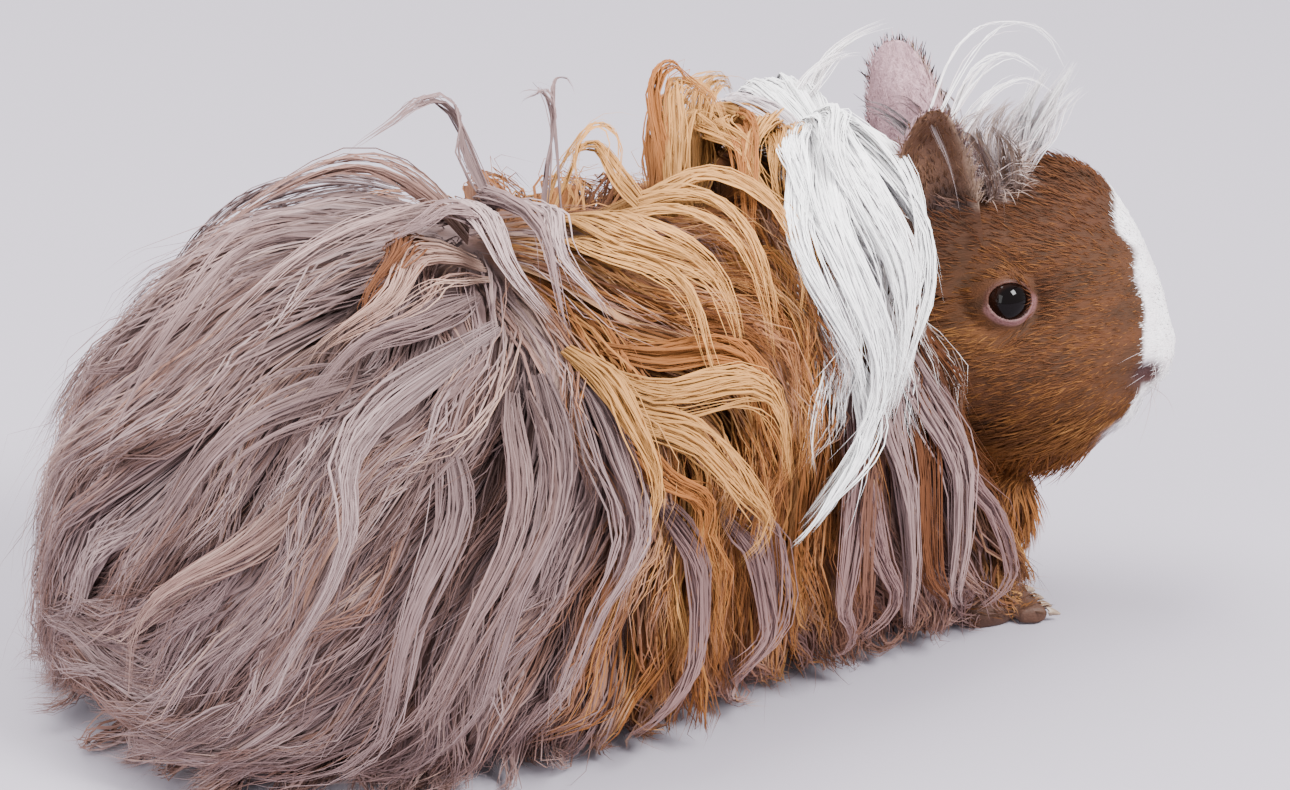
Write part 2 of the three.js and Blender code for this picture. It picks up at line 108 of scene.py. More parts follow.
def track(stations: list[tuple[float, float]]) -> Callable[[Array], Array]:
    """A smooth value through stations (x, value), level past both ends.

    Args:
        stations: places and values, in rising order of place.

    Returns:
        A function from places to values.
    """
    xs, ys = np.array(stations, float).T
    before = np.r_[0, np.arange(len(xs) - 1)]
    after = np.r_[np.arange(1, len(xs)), len(xs) - 1]
    slopes = (ys[after] - ys[before]) / (xs[after] - xs[before])

    def value(x: Array) -> Array:
        """The smooth value at each place."""
        x = np.clip(np.asarray(x, float), xs[0], xs[-1])
        i = np.clip(np.searchsorted(xs, x, side="right") - 1, 0, len(xs) - 2)
        run = xs[i + 1] - xs[i]
        t = (x - xs[i]) / run
        ease = t * t * (3 - 2 * t)
        curve = t * (1 - t) * ((1 - t) * slopes[i] - t * slopes[i + 1]) * run
        return ys[i] + (ys[i + 1] - ys[i]) * ease + curve

    return value


def spline(points: list[tuple[float, ...]]) -> Callable[[Array], Array]:
    """A smooth curve through points, each the same share of the way from the next.

    Args:
        points: the places that the curve goes through.

    Returns:
        A function from shares (0 to 1) to points.
    """
    p = np.array(points, float)
    last = len(p) - 1

    def value(share: Array) -> Array:
        """The curve's points at each share."""
        at = np.clip(np.asarray(share, float), 0, 1) * last
        i = np.minimum(at.astype(int), last - 1)
        t = (at - i)[..., None]
        a, b = p[np.maximum(i - 1, 0)], p[i]
        c, d = p[i + 1], p[np.minimum(i + 2, last)]
        return b + 0.5 * t * (c - a + t * (2 * a - 5 * b + 4 * c - d + t * (3 * (b - c) + d - a)))

    return value


class Drift:
    """Smooth noise over space, about -1 to 1: a sum of seeded waves in all directions."""

    def __init__(self, seed: int, size: float, waves: int = 9) -> None:
        """Draws the waves.

        Args:
            seed: which noise this is.
            size: the width of its patches, in millimetres.
            waves: how many waves are summed.
        """
        random = np.random.default_rng(seed)
        self.turns = random.normal(size=(waves, 3)) * 2.2 / size
        self.starts = random.uniform(0, TAU, waves)

    def __call__(self, points: Array) -> Array:
        """The noise at each point."""
        return np.sin(points @ self.turns.T + self.starts).sum(-1) / math.sqrt(len(self.starts) / 2)


def set_inputs(tree: bpy.types.NodeTree, node: bpy.types.Node, inputs: dict[str | int, object]) -> None:
    """Sets or links a node's inputs.

    Args:
        tree: the node tree.
        node: the node.
        inputs: values, or sockets to link, by input name or number.
    """
    for key, value in inputs.items():
        if isinstance(value, bpy.types.NodeSocket):
            tree.links.new(value, node.inputs[key])
        else:
            node.inputs[key].default_value = value


def add_node(
    tree: bpy.types.NodeTree, kind: str, settings: dict[str, object], inputs: dict[str | int, object]
) -> bpy.types.Node:
    """Adds a shader node with its settings and links.

    Args:
        tree: the material's node tree.
        kind: the node's type name, without "ShaderNode".
        settings: properties to set.
        inputs: values, or sockets to link, by input name or number.

    Returns:
        The new node.
    """
    node = tree.nodes.new(f"ShaderNode{kind}")
    for key, value in settings.items():
        setattr(node, key, value)
    set_inputs(tree, node, inputs)
    return node


def new_material(name: str) -> tuple[bpy.types.Material, bpy.types.NodeTree, bpy.types.Node]:
    """Starts a material.

    Args:
        name: the finish's name.

    Returns:
        The material, its node tree and its shader.
    """
    material = bpy.data.materials.new(name)
    material.use_nodes = True
    return material, material.node_tree, material.node_tree.nodes["Principled BSDF"]


def read(items: bpy.types.bpy_prop_collection, key: str, width: int, kind: type = np.float32) -> Array:
    """Reads one property of all the items of a mesh.

    Args:
        items: such as its vertices.
        key: the property.
        width: how many numbers each item has.
        kind: the numbers' type.

    Returns:
        A row for each item.
    """
    flat = np.empty(len(items) * width, kind)
    items.foreach_get(key, flat)
    return flat.reshape(-1, width)


def store(mesh: bpy.types.Mesh, name: str, kind: str, values: Array) -> None:
    """Stores an attribute on a mesh's points.

    Args:
        mesh: the mesh.
        name: the attribute's name.
        kind: FLOAT, FLOAT_VECTOR or FLOAT_COLOR.
        values: one row for each point.
    """
    layer = mesh.attributes.new(name, kind, "POINT")
    key = {"FLOAT": "value", "FLOAT_VECTOR": "vector", "FLOAT_COLOR": "color"}[kind]
    layer.data.foreach_set(key, values.astype(np.float32).ravel())


def store_pelt(mesh: bpy.types.Mesh, colour: Array) -> None:
    """Stores linear colours on a mesh's points, where the finishes of hair and skin read them."""
    store(mesh, "pelt", "FLOAT_COLOR", np.concatenate([np.clip(colour, 0, 1), np.ones((len(colour), 1))], 1))


# ---- Places: the model's own frame, the trunk and the head as the solids have them ----


@dataclass(frozen=True)
class HeadPlace:
    """Where the head stands: millimetres, its own +X towards the nose from the neck's pivot."""

    pivot: float = 50
    turn: float = math.radians(-15)

    def out(self, points: Array) -> Array:
        """Head places as places in the animal's frame."""
        x, y, z = np.moveaxis(np.asarray(points, float), -1, 0)
        c, s = math.cos(self.turn), math.sin(self.turn)
        return np.stack([self.pivot + c * x - s * y, s * x + c * y, z], -1)

    def into(self, points: Array) -> Array:
        """Places in the animal's frame as head places."""
        x, y, z = np.moveaxis(np.asarray(points, float), -1, 0)
        c, s = math.cos(self.turn), math.sin(self.turn)
        return np.stack([c * (x - self.pivot) + s * y, -s * (x - self.pivot) + c * y, z], -1)


HEAD = HeadPlace()
EYE = (24.3, 18.2, 82)  # the left eye's middle in the head's frame


@dataclass(frozen=True)
class Plan:
    """Where the animal's frame (millimetres, X = 0 over the shoulders) lies in the row's frame."""

    shift: Array

    @classmethod
    def from_eye(cls) -> "Plan":
        """Finds the shift from where the solids have the right eye."""
        low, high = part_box("eye_right")
        middle = np.array((low + high) / 2) / MM
        eye = HEAD.out(np.array([EYE[0], -EYE[1], EYE[2]]))
        return cls(np.array([middle[0] - eye[0], middle[1] - eye[1], 0.0]))

    def world(self, points: Array) -> Array:
        """Millimetres in the animal's frame as metres in the row's frame."""
        return (points + self.shift) * MM

    def local(self, points: Array) -> Array:
        """Metres in the row's frame as millimetres in the animal's frame."""
        return np.asarray(points, float) / MM - self.shift


PLAN = Plan.from_eye()


@dataclass(frozen=True)
class EarPlace:
    """Where one ear stands on the head: across it to its front edge, out from the head and up it."""

    sign: int

    @property
    def foot(self) -> Array:
        """The middle of the ear's foot, in the head's frame."""
        return np.array([11, 15.5 * self.sign, 90])

    @property
    def turn(self) -> Array:
        """The turn from the ear's own frame to the head's."""
        return np.array(Euler([math.radians(a) for a in (-5 * self.sign, -16, -22 * self.sign)]).to_matrix())

    def measure(self, head: Array) -> tuple[Array, Array, Array, Array]:
        """Reads head places on the ear.

        Args:
            head: places in the head's frame.

        Returns:
            Millimetres across, out of and up the ear, and how surely each place is on it, 0 to 1.
        """
        across, away, up = ((head - self.foot) @ self.turn).T
        away = away * self.sign - 0.016 * across**2 - 0.006 * (up - 16) ** 2
        on = ramp(up, 11, 14) * ramp(np.abs(away + 1), 5.5, 4.5) * ramp(np.abs(across), 15.5, 14)
        return across, away, up, on

    @staticmethod
    def rim(across: Array, up: Array) -> Array:
        """How near a place is to the ear's rim, from 0 to 1."""
        t = np.arccos(np.clip(1 - 2 * (up + 8) / 53, -1, 1)) / np.pi
        half = 12.5 * np.maximum(np.sin(np.pi * t), 0.02) ** 0.8 * (1 - 0.25 * t)
        return ramp(np.abs(across) / half, 0.7, 0.95)


EARS = (EarPlace(-1), EarPlace(1))


def vertices(obj: bpy.types.Object) -> Array:
    """An object's vertices, in the animal's millimetres."""
    return PLAN.local(read(obj.data.vertices, "co", 3))


def move_vertices(obj: bpy.types.Object, points: Array) -> None:
    """Puts an object's vertices at places in the animal's millimetres."""
    obj.data.vertices.foreach_set("co", PLAN.world(points).astype(np.float32).ravel())
    obj.data.update()


def vertex_normals(obj: bpy.types.Object) -> Array:
    """An object's unit vertex normals."""
    return read(obj.data.vertex_normals, "vector", 3).astype(float)


@dataclass(frozen=True)
class Trunk:
    """The trunk's outer form, as the solids have it, out to the surface of the coat."""

    rear: float = -156
    hip: float = -66
    front: float = 80
    floor: float = 1.2
    half_width: float = 77
    top: float = 121
    back_line: Callable = track(
        [
            (-66, 121), (-45, 118), (-22, 114), (0, 117), (16, 123), (28, 128), (37, 125),
            (44, 112), (50, 96), (57, 74), (65, 54), (73, 41), (80, 32),
        ]
    )
    flank_line: Callable = track(
        [
            (-66, 77), (-45, 75), (-20, 67), (2, 58), (22, 51), (38, 45), (50, 40), (62, 37),
            (72, 33), (80, 28),
        ]
    )
    middle_line: Callable = track([(-156, 34), (-66, 42), (0, 46), (40, 46), (62, 32), (80, 17)])

    def surface(self, x: Array, angle: Array) -> Array:
        """The form's points at x, with angle 0 on the left side and a quarter turn on the back."""
        x, angle = np.broadcast_arrays(np.asarray(x, float), np.asarray(angle, float))
        rear = np.clip((x - self.rear) / (self.hip - self.rear), 0, 1)
        front = (self.front - x) / 13
        middle = self.middle_line(x)
        behind = x < self.hip
        top = np.where(behind, middle + (self.top - middle) * dome(rear, 1.85), self.back_line(x))
        half = np.where(behind, self.half_width * dome(rear, 2.4), self.flank_line(x)) * dome(front)
        top = middle + (top - middle) * dome(front)
        base = middle - (middle - self.floor) * dome((x - self.rear) / 9) * dome(front, 2.6)
        up = np.sin(angle)
        power = np.where(up > 0, 0.94, 0.4)
        high = signed_power(up, power)
        across = signed_power(np.cos(angle), power)
        reach = np.where(up > 0, top - middle, middle - base)
        return np.stack([x, across * half, middle + high * reach], -1)

    def place(self, x: Array, drop: Array, side: Array) -> Array:
        """Points by degrees down from the spine, on side -1 (right) or 1 (left)."""
        return self.surface(x, np.radians(90 - np.asarray(side) * np.asarray(drop)))

    def drop(self, points: Array) -> Array:
        """Degrees down from the spine of points on or near the form."""
        return np.degrees(np.arctan2(np.abs(points[:, 1]), points[:, 2] - self.middle_line(points[:, 0])))


TRUNK = Trunk()
NOSE = (69, 65)


@dataclass(frozen=True)
class Skull:
    """The head's outer form, as the solids have it, out to the surface of its short fur."""

    crown: Callable = spline(
        [
            (-9, 76), (-7, 92), (1, 104), (13, 110), (27, 112), (40, 112), (50, 107), (57, 98),
            (62.5, 87), (66.6, 76), NOSE,
        ]
    )
    jaw: Callable = spline(
        [
            (-9, 76), (-6, 56), (3, 42), (14, 35), (26, 32), (37, 31.5), (47, 34.5), (55, 40.5),
            (62, 47.5), (67, 56), NOSE,
        ]
    )
    cheek: Callable = track(
        [
            (0, 0), (0.05, 12), (0.15, 20), (0.3, 24.6), (0.45, 25.4), (0.58, 23.4), (0.7, 19.6),
            (0.8, 16), (0.9, 12), (0.96, 8), (1, 0),
        ]
    )

    def surface(self, share: Array, angle: Array) -> Array:
        """Head-frame points at a share of the way to the nose and an angle round the head."""
        top, base = self.crown(share), self.jaw(share)
        high = signed_power(np.sin(angle), 0.92)
        level = 0.42 + np.where(high > 0, 0.58, 0.42) * high
        narrowing = 1 - 0.36 * np.maximum(0, high) ** 1.2 - 0.12 * np.maximum(0, -high) ** 2
        line = blend(base, top, level)
        across = signed_power(np.cos(angle), 0.8) * self.cheek(share) * narrowing
        return np.stack([line[..., 0], across, line[..., 1]], -1)


SKULL = Skull()


class Shape:
    """A closed shape that can be asked for its nearest points and ways out."""

    def __init__(self, points: Array, faces: list[tuple[int, ...]]) -> None:
        """Builds the search tree.

        Args:
            points: corners, in the animal's millimetres.
            faces: corner numbers of each face, turned outwards.
        """
        self.tree = BVHTree.FromPolygons([tuple(p) for p in points], faces)

    @classmethod
    def from_grid(cls, place: Callable[[Array, Array], Array], along: int, around: int) -> "Shape":
        """A shape over a sphere's grid, from a function of (share, angle)."""
        shares, angles = np.linspace(0, 1, along), np.linspace(0, TAU, around, endpoint=False)
        share, angle = np.meshgrid(shares, angles, indexing="ij")
        points = place(share.ravel(), angle.ravel())
        faces = []
        for i in range(along - 1):
            for j in range(around):
                k = (j + 1) % around
                faces.append((i * around + j, i * around + k, (i + 1) * around + k, (i + 1) * around + j))
        return cls(points, faces)

    def nearest(self, points: Array) -> tuple[Array, Array]:
        """The nearest places and their outward normals."""
        found = [self.tree.find_nearest(Vector(p)) for p in points]
        places = np.array([f[0] for f in found])
        normals = np.array([f[1] for f in found])
        return places, normals

    def outside(self, points: Array) -> Array:
        """How far points lie outside the shape; negative inside."""
        places, normals = self.nearest(points)
        return ((points - places) * normals).sum(-1)


def trunk_grid(share: Array, angle: Array) -> Array:
    """The trunk's form by share of its length, closer together at both ends."""
    eased = (1 - np.cos(np.pi * share)) / 2
    return TRUNK.surface(TRUNK.rear + 0.02 + (TRUNK.front - TRUNK.rear - 0.04) * eased, angle)


def head_grid(share: Array, angle: Array) -> Array:
    """The head's form in the animal's frame."""
    return HEAD.out(SKULL.surface(share, angle))


COAT_SHAPE = Shape.from_grid(trunk_grid, 90, 96)
HEAD_SHAPE = Shape.from_grid(head_grid, 60, 72)


# ---- Markings, the same on skin and coat ----


class Pelt(Enum):
    """The colours of the hair, as sRGB."""

    LILAC = "#7f6867"
    LILAC_LIGHT = "#a58e8d"
    LILAC_DARK = "#4f3b37"
    GINGER = "#90592c"
    BUFF = "#b9854c"
    GINGER_DARK = "#5c351c"
    WHITE = "#fffcfd"
    WHITE_SHADE = "#dfd0d4"
    CHEST = "#7f6360"
    CHEST_LIGHT = "#8f7673"
    THROAT = "#633b23"
    FACE = "#543017"
    FACE_LIGHT = "#774c25"
    FACE_DARK = "#34200f"
    BROW = "#40210f"
    CROWN_BROWN = "#856a5c"
    CROWN_GREY = "#ab9993"
    EAR = "#523624"
    EAR_EDGE = "#74553f"
    # dark of the ear hair, also painted as shade in the ear's hollow and at its foot
    EAR_HOLLOW = "#21130c"
    # pale front rim of the ear, partly a painted highlight; also a beige of the crest's wisps
    EAR_RIM = "#a08673"
    EAR_PINK = "#c49fa9"
    RIM = "#714e4c"
    RIM_DARK = "#4a2b1f"
    PAW = "#4b3226"
    NOSE = "#b98d8b"
    # dark of the mouth's corner and of the line between the lips: painted shade in those recesses
    MOUTH = "#3a201c"
    # warm dark brown of the underside; on the lower rump it is also painted shade
    UNDER = "#6d4a3c"

    @property
    def rgb(self) -> Array:
        """The colour as linear red, green and blue."""
        return linear(self.value)


class Markings:
    """Where each colour lies on the body, with soft and ragged edges, and where shade and a highlight are
    painted in.
    """

    def __init__(self) -> None:
        """Draws the ragged edges and patches."""
        self.ragged = Drift(3, 9)
        self.patches = Drift(8, 24)
        self.locks = Drift(21, 7)
        self.mottle = Drift(33, 3.2)
        # the white of nose, lips and blaze starts at these places along the head, by height
        self.white_from = track(
            [
                (40, 56), (44, 53.5), (50, 55), (56, 58.5), (60, 60.3), (64, 59), (71, 58.4), (78, 57.5),
                (85, 57), (91, 56.4), (95, 52.8), (102, 52.6), (106, 55),
            ]
        )

    @staticmethod
    def shade(tone: Array, dark: Pelt, mid: Pelt, light: Pelt) -> Array:
        """Three tones of a colour by how light each hair is, from about -1 to 1."""
        low = blend(mid.rgb, dark.rgb, np.clip(-tone, 0, 1))
        return blend(low, light.rgb, np.clip(tone, 0, 1))

    def trunk(self, points: Array, tone: Array) -> Array:
        """Colours of hair rooted on the trunk.

        Args:
            points: root places, in the animal's frame.
            tone: how light each hair is, from about -1 to 1.

        Returns:
            Linear colours.
        """
        x, drop = points[:, 0], TRUNK.drop(points)
        edge = self.ragged(points) * 3
        patch = self.patches(points)
        tone = np.clip(tone + 0.35 * self.locks(points), -1.4, 1.4)

        ginger = self.shade(tone, Pelt.GINGER_DARK, Pelt.GINGER, Pelt.BUFF)
        lilac = self.shade(tone, Pelt.LILAC_DARK, Pelt.LILAC, Pelt.LILAC_LIGHT)
        white = blend(Pelt.WHITE.rgb, Pelt.WHITE_SHADE.rgb, np.clip(-tone * 0.6, 0, 1))
        chest = self.shade(tone, Pelt.UNDER, Pelt.CHEST, Pelt.CHEST_LIGHT)
        throat = self.shade(tone, Pelt.FACE_DARK, Pelt.THROAT, Pelt.BUFF)

        colour = ginger
        border = 37 + 13 * ramp(drop, 48, 16) - 5 * ramp(drop, 80, 112)
        rump = ramp(-x - border, -4, 8)
        # painted shade: the ginger darkens down the side towards the white collar
        dim = 0.45 * ramp(x, -6, 6) * ramp(drop, 24, 40)
        colour = blend(colour, self.shade(tone, Pelt.GINGER_DARK, Pelt.GINGER_DARK, Pelt.GINGER), dim)
        colour = blend(colour, lilac, np.clip(rump + 0.06 * edge, 0, 1))
        # the lower rump turns a darker, warmer brown towards the floor: partly the coat's own colour, partly
        # painted shade
        hem = ramp(drop, 78, 140) * ramp(-x, 30, 50)
        colour = blend(colour, self.shade(tone, Pelt.UNDER, Pelt.UNDER, Pelt.LILAC), hem * 0.55)
        belly = ramp(drop, 100, 120) * ramp(x, -44, -30)
        colour = blend(colour, blend(throat, chest, np.clip(0.6 - patch * 0.5, 0, 1)), belly * 0.95)
        front = ramp(x, 24, 32) * ramp(drop, 44, 58)
        colour = blend(colour, throat, front)
        chest_lock = front * ramp(drop, 52, 70) * ramp(66 - x + edge, 0, 8)
        colour = blend(colour, chest, chest_lock * np.clip(0.75 + 0.5 * patch, 0.2, 1))
        # the nape is dark brown: partly its own fur, partly painted shade under the ear and cheek
        nape = ramp(x + 0.4 * edge, 35, 40) * ramp(drop, 6, 16)
        dusk = self.shade(tone, Pelt.FACE_DARK, Pelt.BROW, Pelt.FACE)
        colour = blend(colour, dusk, nape * ramp(drop, 70, 50))
        start = 16 + 7 * ramp(drop, 24, 4)
        collar = ramp(x + edge - start, -3, 2) * ramp(42 - drop + edge, 0, 10) * (1 - nape)
        return blend(colour, white, collar)

    def head(self, points: Array, tone: Array) -> Array:
        """Colours of fur on the head.

        Args:
            points: root places, in the head's frame.
            tone: how light each hair is, from about -1 to 1.

        Returns:
            Linear colours.
        """
        x, y, z = points.T
        edge = self.ragged(points) * 1.3
        width = np.abs(y)
        tone = np.clip(tone + 0.16 * self.mottle(points), -1.3, 1.3)
        colour = self.shade(tone, Pelt.FACE_DARK, Pelt.FACE, Pelt.FACE_LIGHT)
        gold = hill((x, 16, 7), (z, 74, 6)) + 1.4 * hill((x, 45, 11), (z, 48, 9))
        golden = self.shade(tone, Pelt.FACE, Pelt.FACE_LIGHT, Pelt.BUFF)
        colour = blend(colour, golden, np.clip(0.4 * gold, 0, 1))
        dusk = hill((x, 35, 5), (z, 84, 5)) + 0.75 * ramp(z, 88, 99)
        dusky = self.shade(tone, Pelt.FACE_DARK, Pelt.BROW, Pelt.FACE)
        colour = blend(colour, dusky, np.clip(0.9 * dusk, 0, 1))
        top = ramp(z + edge, 106, 111) * ramp(x, 8, 20) * ramp(x + edge, 39, 32)
        colour = blend(colour, self.shade(tone, Pelt.BROW, Pelt.CROWN_BROWN, Pelt.CROWN_GREY), top)
        crown = ramp(z + edge, 102, 108) * ramp(35 - x, 0, 5) * ramp(17 - width, 0, 6)
        colour = blend(colour, self.shade(tone, Pelt.CROWN_BROWN, Pelt.CROWN_GREY, Pelt.WHITE_SHADE), crown)
        throat = ramp(z, 52, 40) * ramp(x, 54, 38)
        colour = blend(colour, self.shade(tone, Pelt.THROAT, Pelt.FACE_LIGHT, Pelt.GINGER), throat)
        lip = ramp(z, 50, 46) * ramp(x, 50, 54) * 0.45
        colour = blend(colour, Pelt.WHITE_SHADE.rgb, lip)
        white = blend(Pelt.WHITE.rgb, Pelt.WHITE_SHADE.rgb, np.clip(-tone * 0.7, 0, 1))
        patch = ramp(x - self.white_from(z) + edge * 0.7, -0.8, 0.9) * ramp(z, 107, 103) * ramp(z, 42, 47)
        colour = blend(colour, white, patch)
        # painted shade: the fur at the mouth's corner is darkened, where the corner lies in a recess
        corner = hill((x, 59.3, 3.4), (z, 61, 3)) * (width > 3)
        return blend(colour, Pelt.MOUTH.rgb, np.clip(1.3 * corner, 0, 0.95))

    def ear(self, place: EarPlace, points: Array, outward: Array, tone: Array) -> Array:
        """Colours on an ear: painted shade in its hollow and towards its foot, a paler rim that is partly a
        painted highlight along its front edge, and pink on the side to the other ear.

        Args:
            place: which ear.
            points: places in the head's frame.
            outward: the surface's ways out there, in the head's frame.
            tone: how light each hair is, from about -1 to 1.

        Returns:
            Linear colours.
        """
        across, _, up, _ = place.measure(points)
        rim = place.rim(across, up)
        colour = self.shade(tone, Pelt.EAR_HOLLOW, Pelt.EAR, Pelt.EAR_EDGE)
        # painted shade in the ear's hollow and towards its foot
        hollow = hill((across, 3, 5), (up, 12, 9)) + 0.8 * hill((across, -7, 3), (up, 14, 7))
        colour = blend(colour, Pelt.EAR_HOLLOW.rgb, np.clip(hollow + 0.7 * ramp(up, 19, 12), 0, 0.9))
        # the rim is paler, palest along its front edge: partly its own hair, partly a painted highlight where
        # light catches that edge
        front = ramp(across, -2, 4)
        colour = blend(colour, blend(Pelt.EAR_EDGE.rgb, Pelt.EAR_RIM.rgb, front), rim * 0.75)
        inner = ramp(-(outward @ place.turn)[:, 1] * place.sign, -0.1, 0.5)
        return blend(colour, Pelt.EAR_PINK.rgb, 0.65 * inner)


MARKINGS = Markings()


# ---- Finishes ----


@dataclass(frozen=True)
class HairFinish:
    """Guinea pig hair: soft matt keratin whose tufts show the fine hairs that lie side by side in them."""

    name: str = "long_soft_hair"
    roughness: float = 0.72
    specular: float = 0.16
    ior: float = 1.55  # keratin
    strand: float = 0.26  # width of the streaks that stand for single hairs, in millimetres
    relief: float = 0.12 * MM

    def make(self) -> bpy.types.Material:
        """Builds the material."""
        material, tree, shader = new_material(self.name)
        pelt = add_node(tree, "Attribute", {"attribute_name": "pelt"}, {})
        strand = add_node(tree, "Attribute", {"attribute_name": "strand"}, {})
        noise = add_node(
            tree, "TexNoise", {},
            {"Vector": strand.outputs["Vector"], "Scale": 1 / self.strand, "Detail": 1.0},
        )
        level = add_node(
            tree, "MapRange", {},
            {"Value": noise.outputs["Fac"], "From Min": 0.3, "From Max": 0.7, "To Min": 0.78, "To Max": 1.18},
        )
        colour = add_node(
            tree, "VectorMath", {"operation": "SCALE"},
            {0: pelt.outputs["Color"], "Scale": level.outputs["Result"]},
        )
        bump = add_node(
            tree, "Bump", {}, {"Height": noise.outputs["Fac"], "Strength": 0.35, "Distance": self.relief}
        )
        set_inputs(tree, shader, {
            "Base Color": colour.outputs["Vector"], "Normal": bump.outputs["Normal"],
            "Roughness": self.roughness, "Specular IOR Level": self.specular, "IOR": self.ior,
        })
        return material


@dataclass(frozen=True)
class HideFinish:
    """The skin under short flat fur, which shows as fine streaks, and bare at ears, lips and soles."""

    name: str = "furred_hide"
    hair_width: float = 0.35 * MM  # coarser than a hair, so that it shows
    hair_length: float = 3.5 * MM
    pore: float = 0.5 * MM
    relief: float = 0.25 * MM
    furred_roughness: float = 0.8
    bare_roughness: float = 0.5
    specular: float = 0.3

    def make(self) -> bpy.types.Material:
        """Builds the material."""
        material, tree, shader = new_material(self.name)
        pelt = add_node(tree, "Attribute", {"attribute_name": "pelt"}, {})
        bare = add_node(tree, "Attribute", {"attribute_name": "bare"}, {})
        place = add_node(tree, "TexCoord", {}, {})
        lie = add_node(
            tree, "Mapping", {},
            {
                "Vector": place.outputs["Object"],
                "Rotation": (0, 0, -HEAD.turn),
                "Scale": (1 / self.hair_length, 1 / self.hair_width, 1 / self.hair_width),
            },
        )
        streaks = add_node(
            tree, "TexNoise", {}, {"Vector": lie.outputs["Vector"], "Scale": 1.0, "Detail": 3.0}
        )
        pores = add_node(
            tree, "TexNoise", {}, {"Vector": place.outputs["Object"], "Scale": 1 / self.pore, "Detail": 2.0}
        )
        height = add_node(
            tree, "Mix", {"data_type": "FLOAT"},
            {0: bare.outputs["Fac"], 2: streaks.outputs["Fac"], 3: pores.outputs["Fac"]},
        )
        level = add_node(
            tree, "MapRange", {},
            {"Value": height.outputs[0], "From Min": 0.3, "From Max": 0.7, "To Min": 0.78, "To Max": 1.15},
        )
        colour = add_node(
            tree, "VectorMath", {"operation": "SCALE"},
            {0: pelt.outputs["Color"], "Scale": level.outputs["Result"]},
        )
        rough = add_node(
            tree, "MapRange", {},
            {"Value": bare.outputs["Fac"], "To Min": self.furred_roughness, "To Max": self.bare_roughness},
        )
        bump = add_node(
            tree, "Bump", {}, {"Height": height.outputs[0], "Strength": 0.7, "Distance": self.relief}
        )
        set_inputs(tree, shader, {
            "Base Color": colour.outputs["Vector"], "Normal": bump.outputs["Normal"],
            "Roughness": rough.outputs["Result"], "Specular IOR Level": self.specular,
        })
        return material


@dataclass(frozen=True)
class EyeFinish:
    """A wet dark brown eye: a clear cornea over an iris that is nearly as dark as its pupil."""

    name: str = "wet_eye"
    pupil: str = "#060303"
    iris: str = "#1d0e09"
    ior: float = 1.376  # cornea
    roughness: float = 0.05  # wet
    specular: float = 0.2

    def make(self) -> bpy.types.Material:
        """Builds the material."""
        material, tree, shader = new_material(self.name)
        ring = add_node(tree, "Attribute", {"attribute_name": "iris"}, {})
        band = add_node(
            tree, "MapRange", {"interpolation_type": "SMOOTHSTEP"},
            {"Value": ring.outputs["Fac"], "From Min": 0.42, "From Max": 0.62},
        )
        colour = add_node(
            tree, "Mix", {"data_type": "RGBA"},
            {0: band.outputs["Result"], 6: (*linear(self.pupil), 1), 7: (*linear(self.iris), 1)},
        )
        set_inputs(tree, shader, {
            "Base Color": colour.outputs[2], "Roughness": self.roughness,
            "Specular IOR Level": self.specular, "IOR": self.ior,
        })
        return material


@dataclass(frozen=True)
class HornFinish:
    """Claw horn: grown keratin with fine lengthwise lines, a little translucent at its edges."""

    name: str = "claw_horn"
    pale: str = "#a08b76"
    dark: str = "#5f4a3c"
    line: float = 0.6 * MM
    relief: float = 0.1 * MM
    roughness: float = 0.4
    ior: float = 1.55  # keratin

    def make(self) -> bpy.types.Material:
        """Builds the material."""
        material, tree, shader = new_material(self.name)
        place = add_node(tree, "TexCoord", {}, {})
        noise = add_node(
            tree, "TexNoise", {}, {"Vector": place.outputs["Object"], "Scale": 1 / self.line, "Detail": 3.0}
        )
        colour = add_node(
            tree, "Mix", {"data_type": "RGBA"},
            {0: noise.outputs["Fac"], 6: (*linear(self.pale), 1), 7: (*linear(self.dark), 1)},
        )
        bump = add_node(
            tree, "Bump", {}, {"Height": noise.outputs["Fac"], "Strength": 0.3, "Distance": self.relief}
        )
        set_inputs(tree, shader, {
            "Base Color": colour.outputs[2], "Normal": bump.outputs["Normal"],
            "Roughness": self.roughness, "IOR": self.ior,
        })
        return material


# ---- Modelling by hand ----


def deselect() -> None:
    """Leaves nothing selected."""
    bpy.ops.object.select_all(action="DESELECT")


def activate(obj: bpy.types.Object) -> None:
    """Selects one object and makes it the active one."""
    deselect()
    obj.select_set(True)
    bpy.context.view_layer.objects.active = obj


@contextmanager
def editing(obj: bpy.types.Object) -> Iterator[None]:
    """Edit mode for a while, with all of one object selected.

    Args:
        obj: the mesh object to edit.
    """
    activate(obj)
    bpy.ops.object.mode_set(mode="EDIT")
    bpy.ops.mesh.select_all(action="SELECT")
    yield
    bpy.ops.object.mode_set(mode="OBJECT")


def formed_sphere(
    name: str, around: int, along: int, place: Callable[[Array, Array], Array]
) -> bpy.types.Object:
    """A sphere whose rings are moved to a form.

    Args:
        name: the object's name.
        around: points round each ring.
        along: rings from pole to pole.
        place: gives points in the animal's millimetres from (share of the way, angle).

    Returns:
        The closed object, with its faces turned outwards.
    """
    deselect()
    bpy.ops.mesh.primitive_uv_sphere_add(segments=around, ring_count=along, radius=1.0, location=(0, 0, 0))
    made = bpy.context.object
    made.name = name
    ball = read(made.data.vertices, "co", 3).astype(float)
    share = np.arccos(np.clip(ball[:, 2], -1, 1)) / np.pi
    angle = np.arctan2(ball[:, 1], ball[:, 0])
    move_vertices(made, place(share, angle))
    with editing(made):
        bpy.ops.mesh.normals_make_consistent(inside=False)
    return made


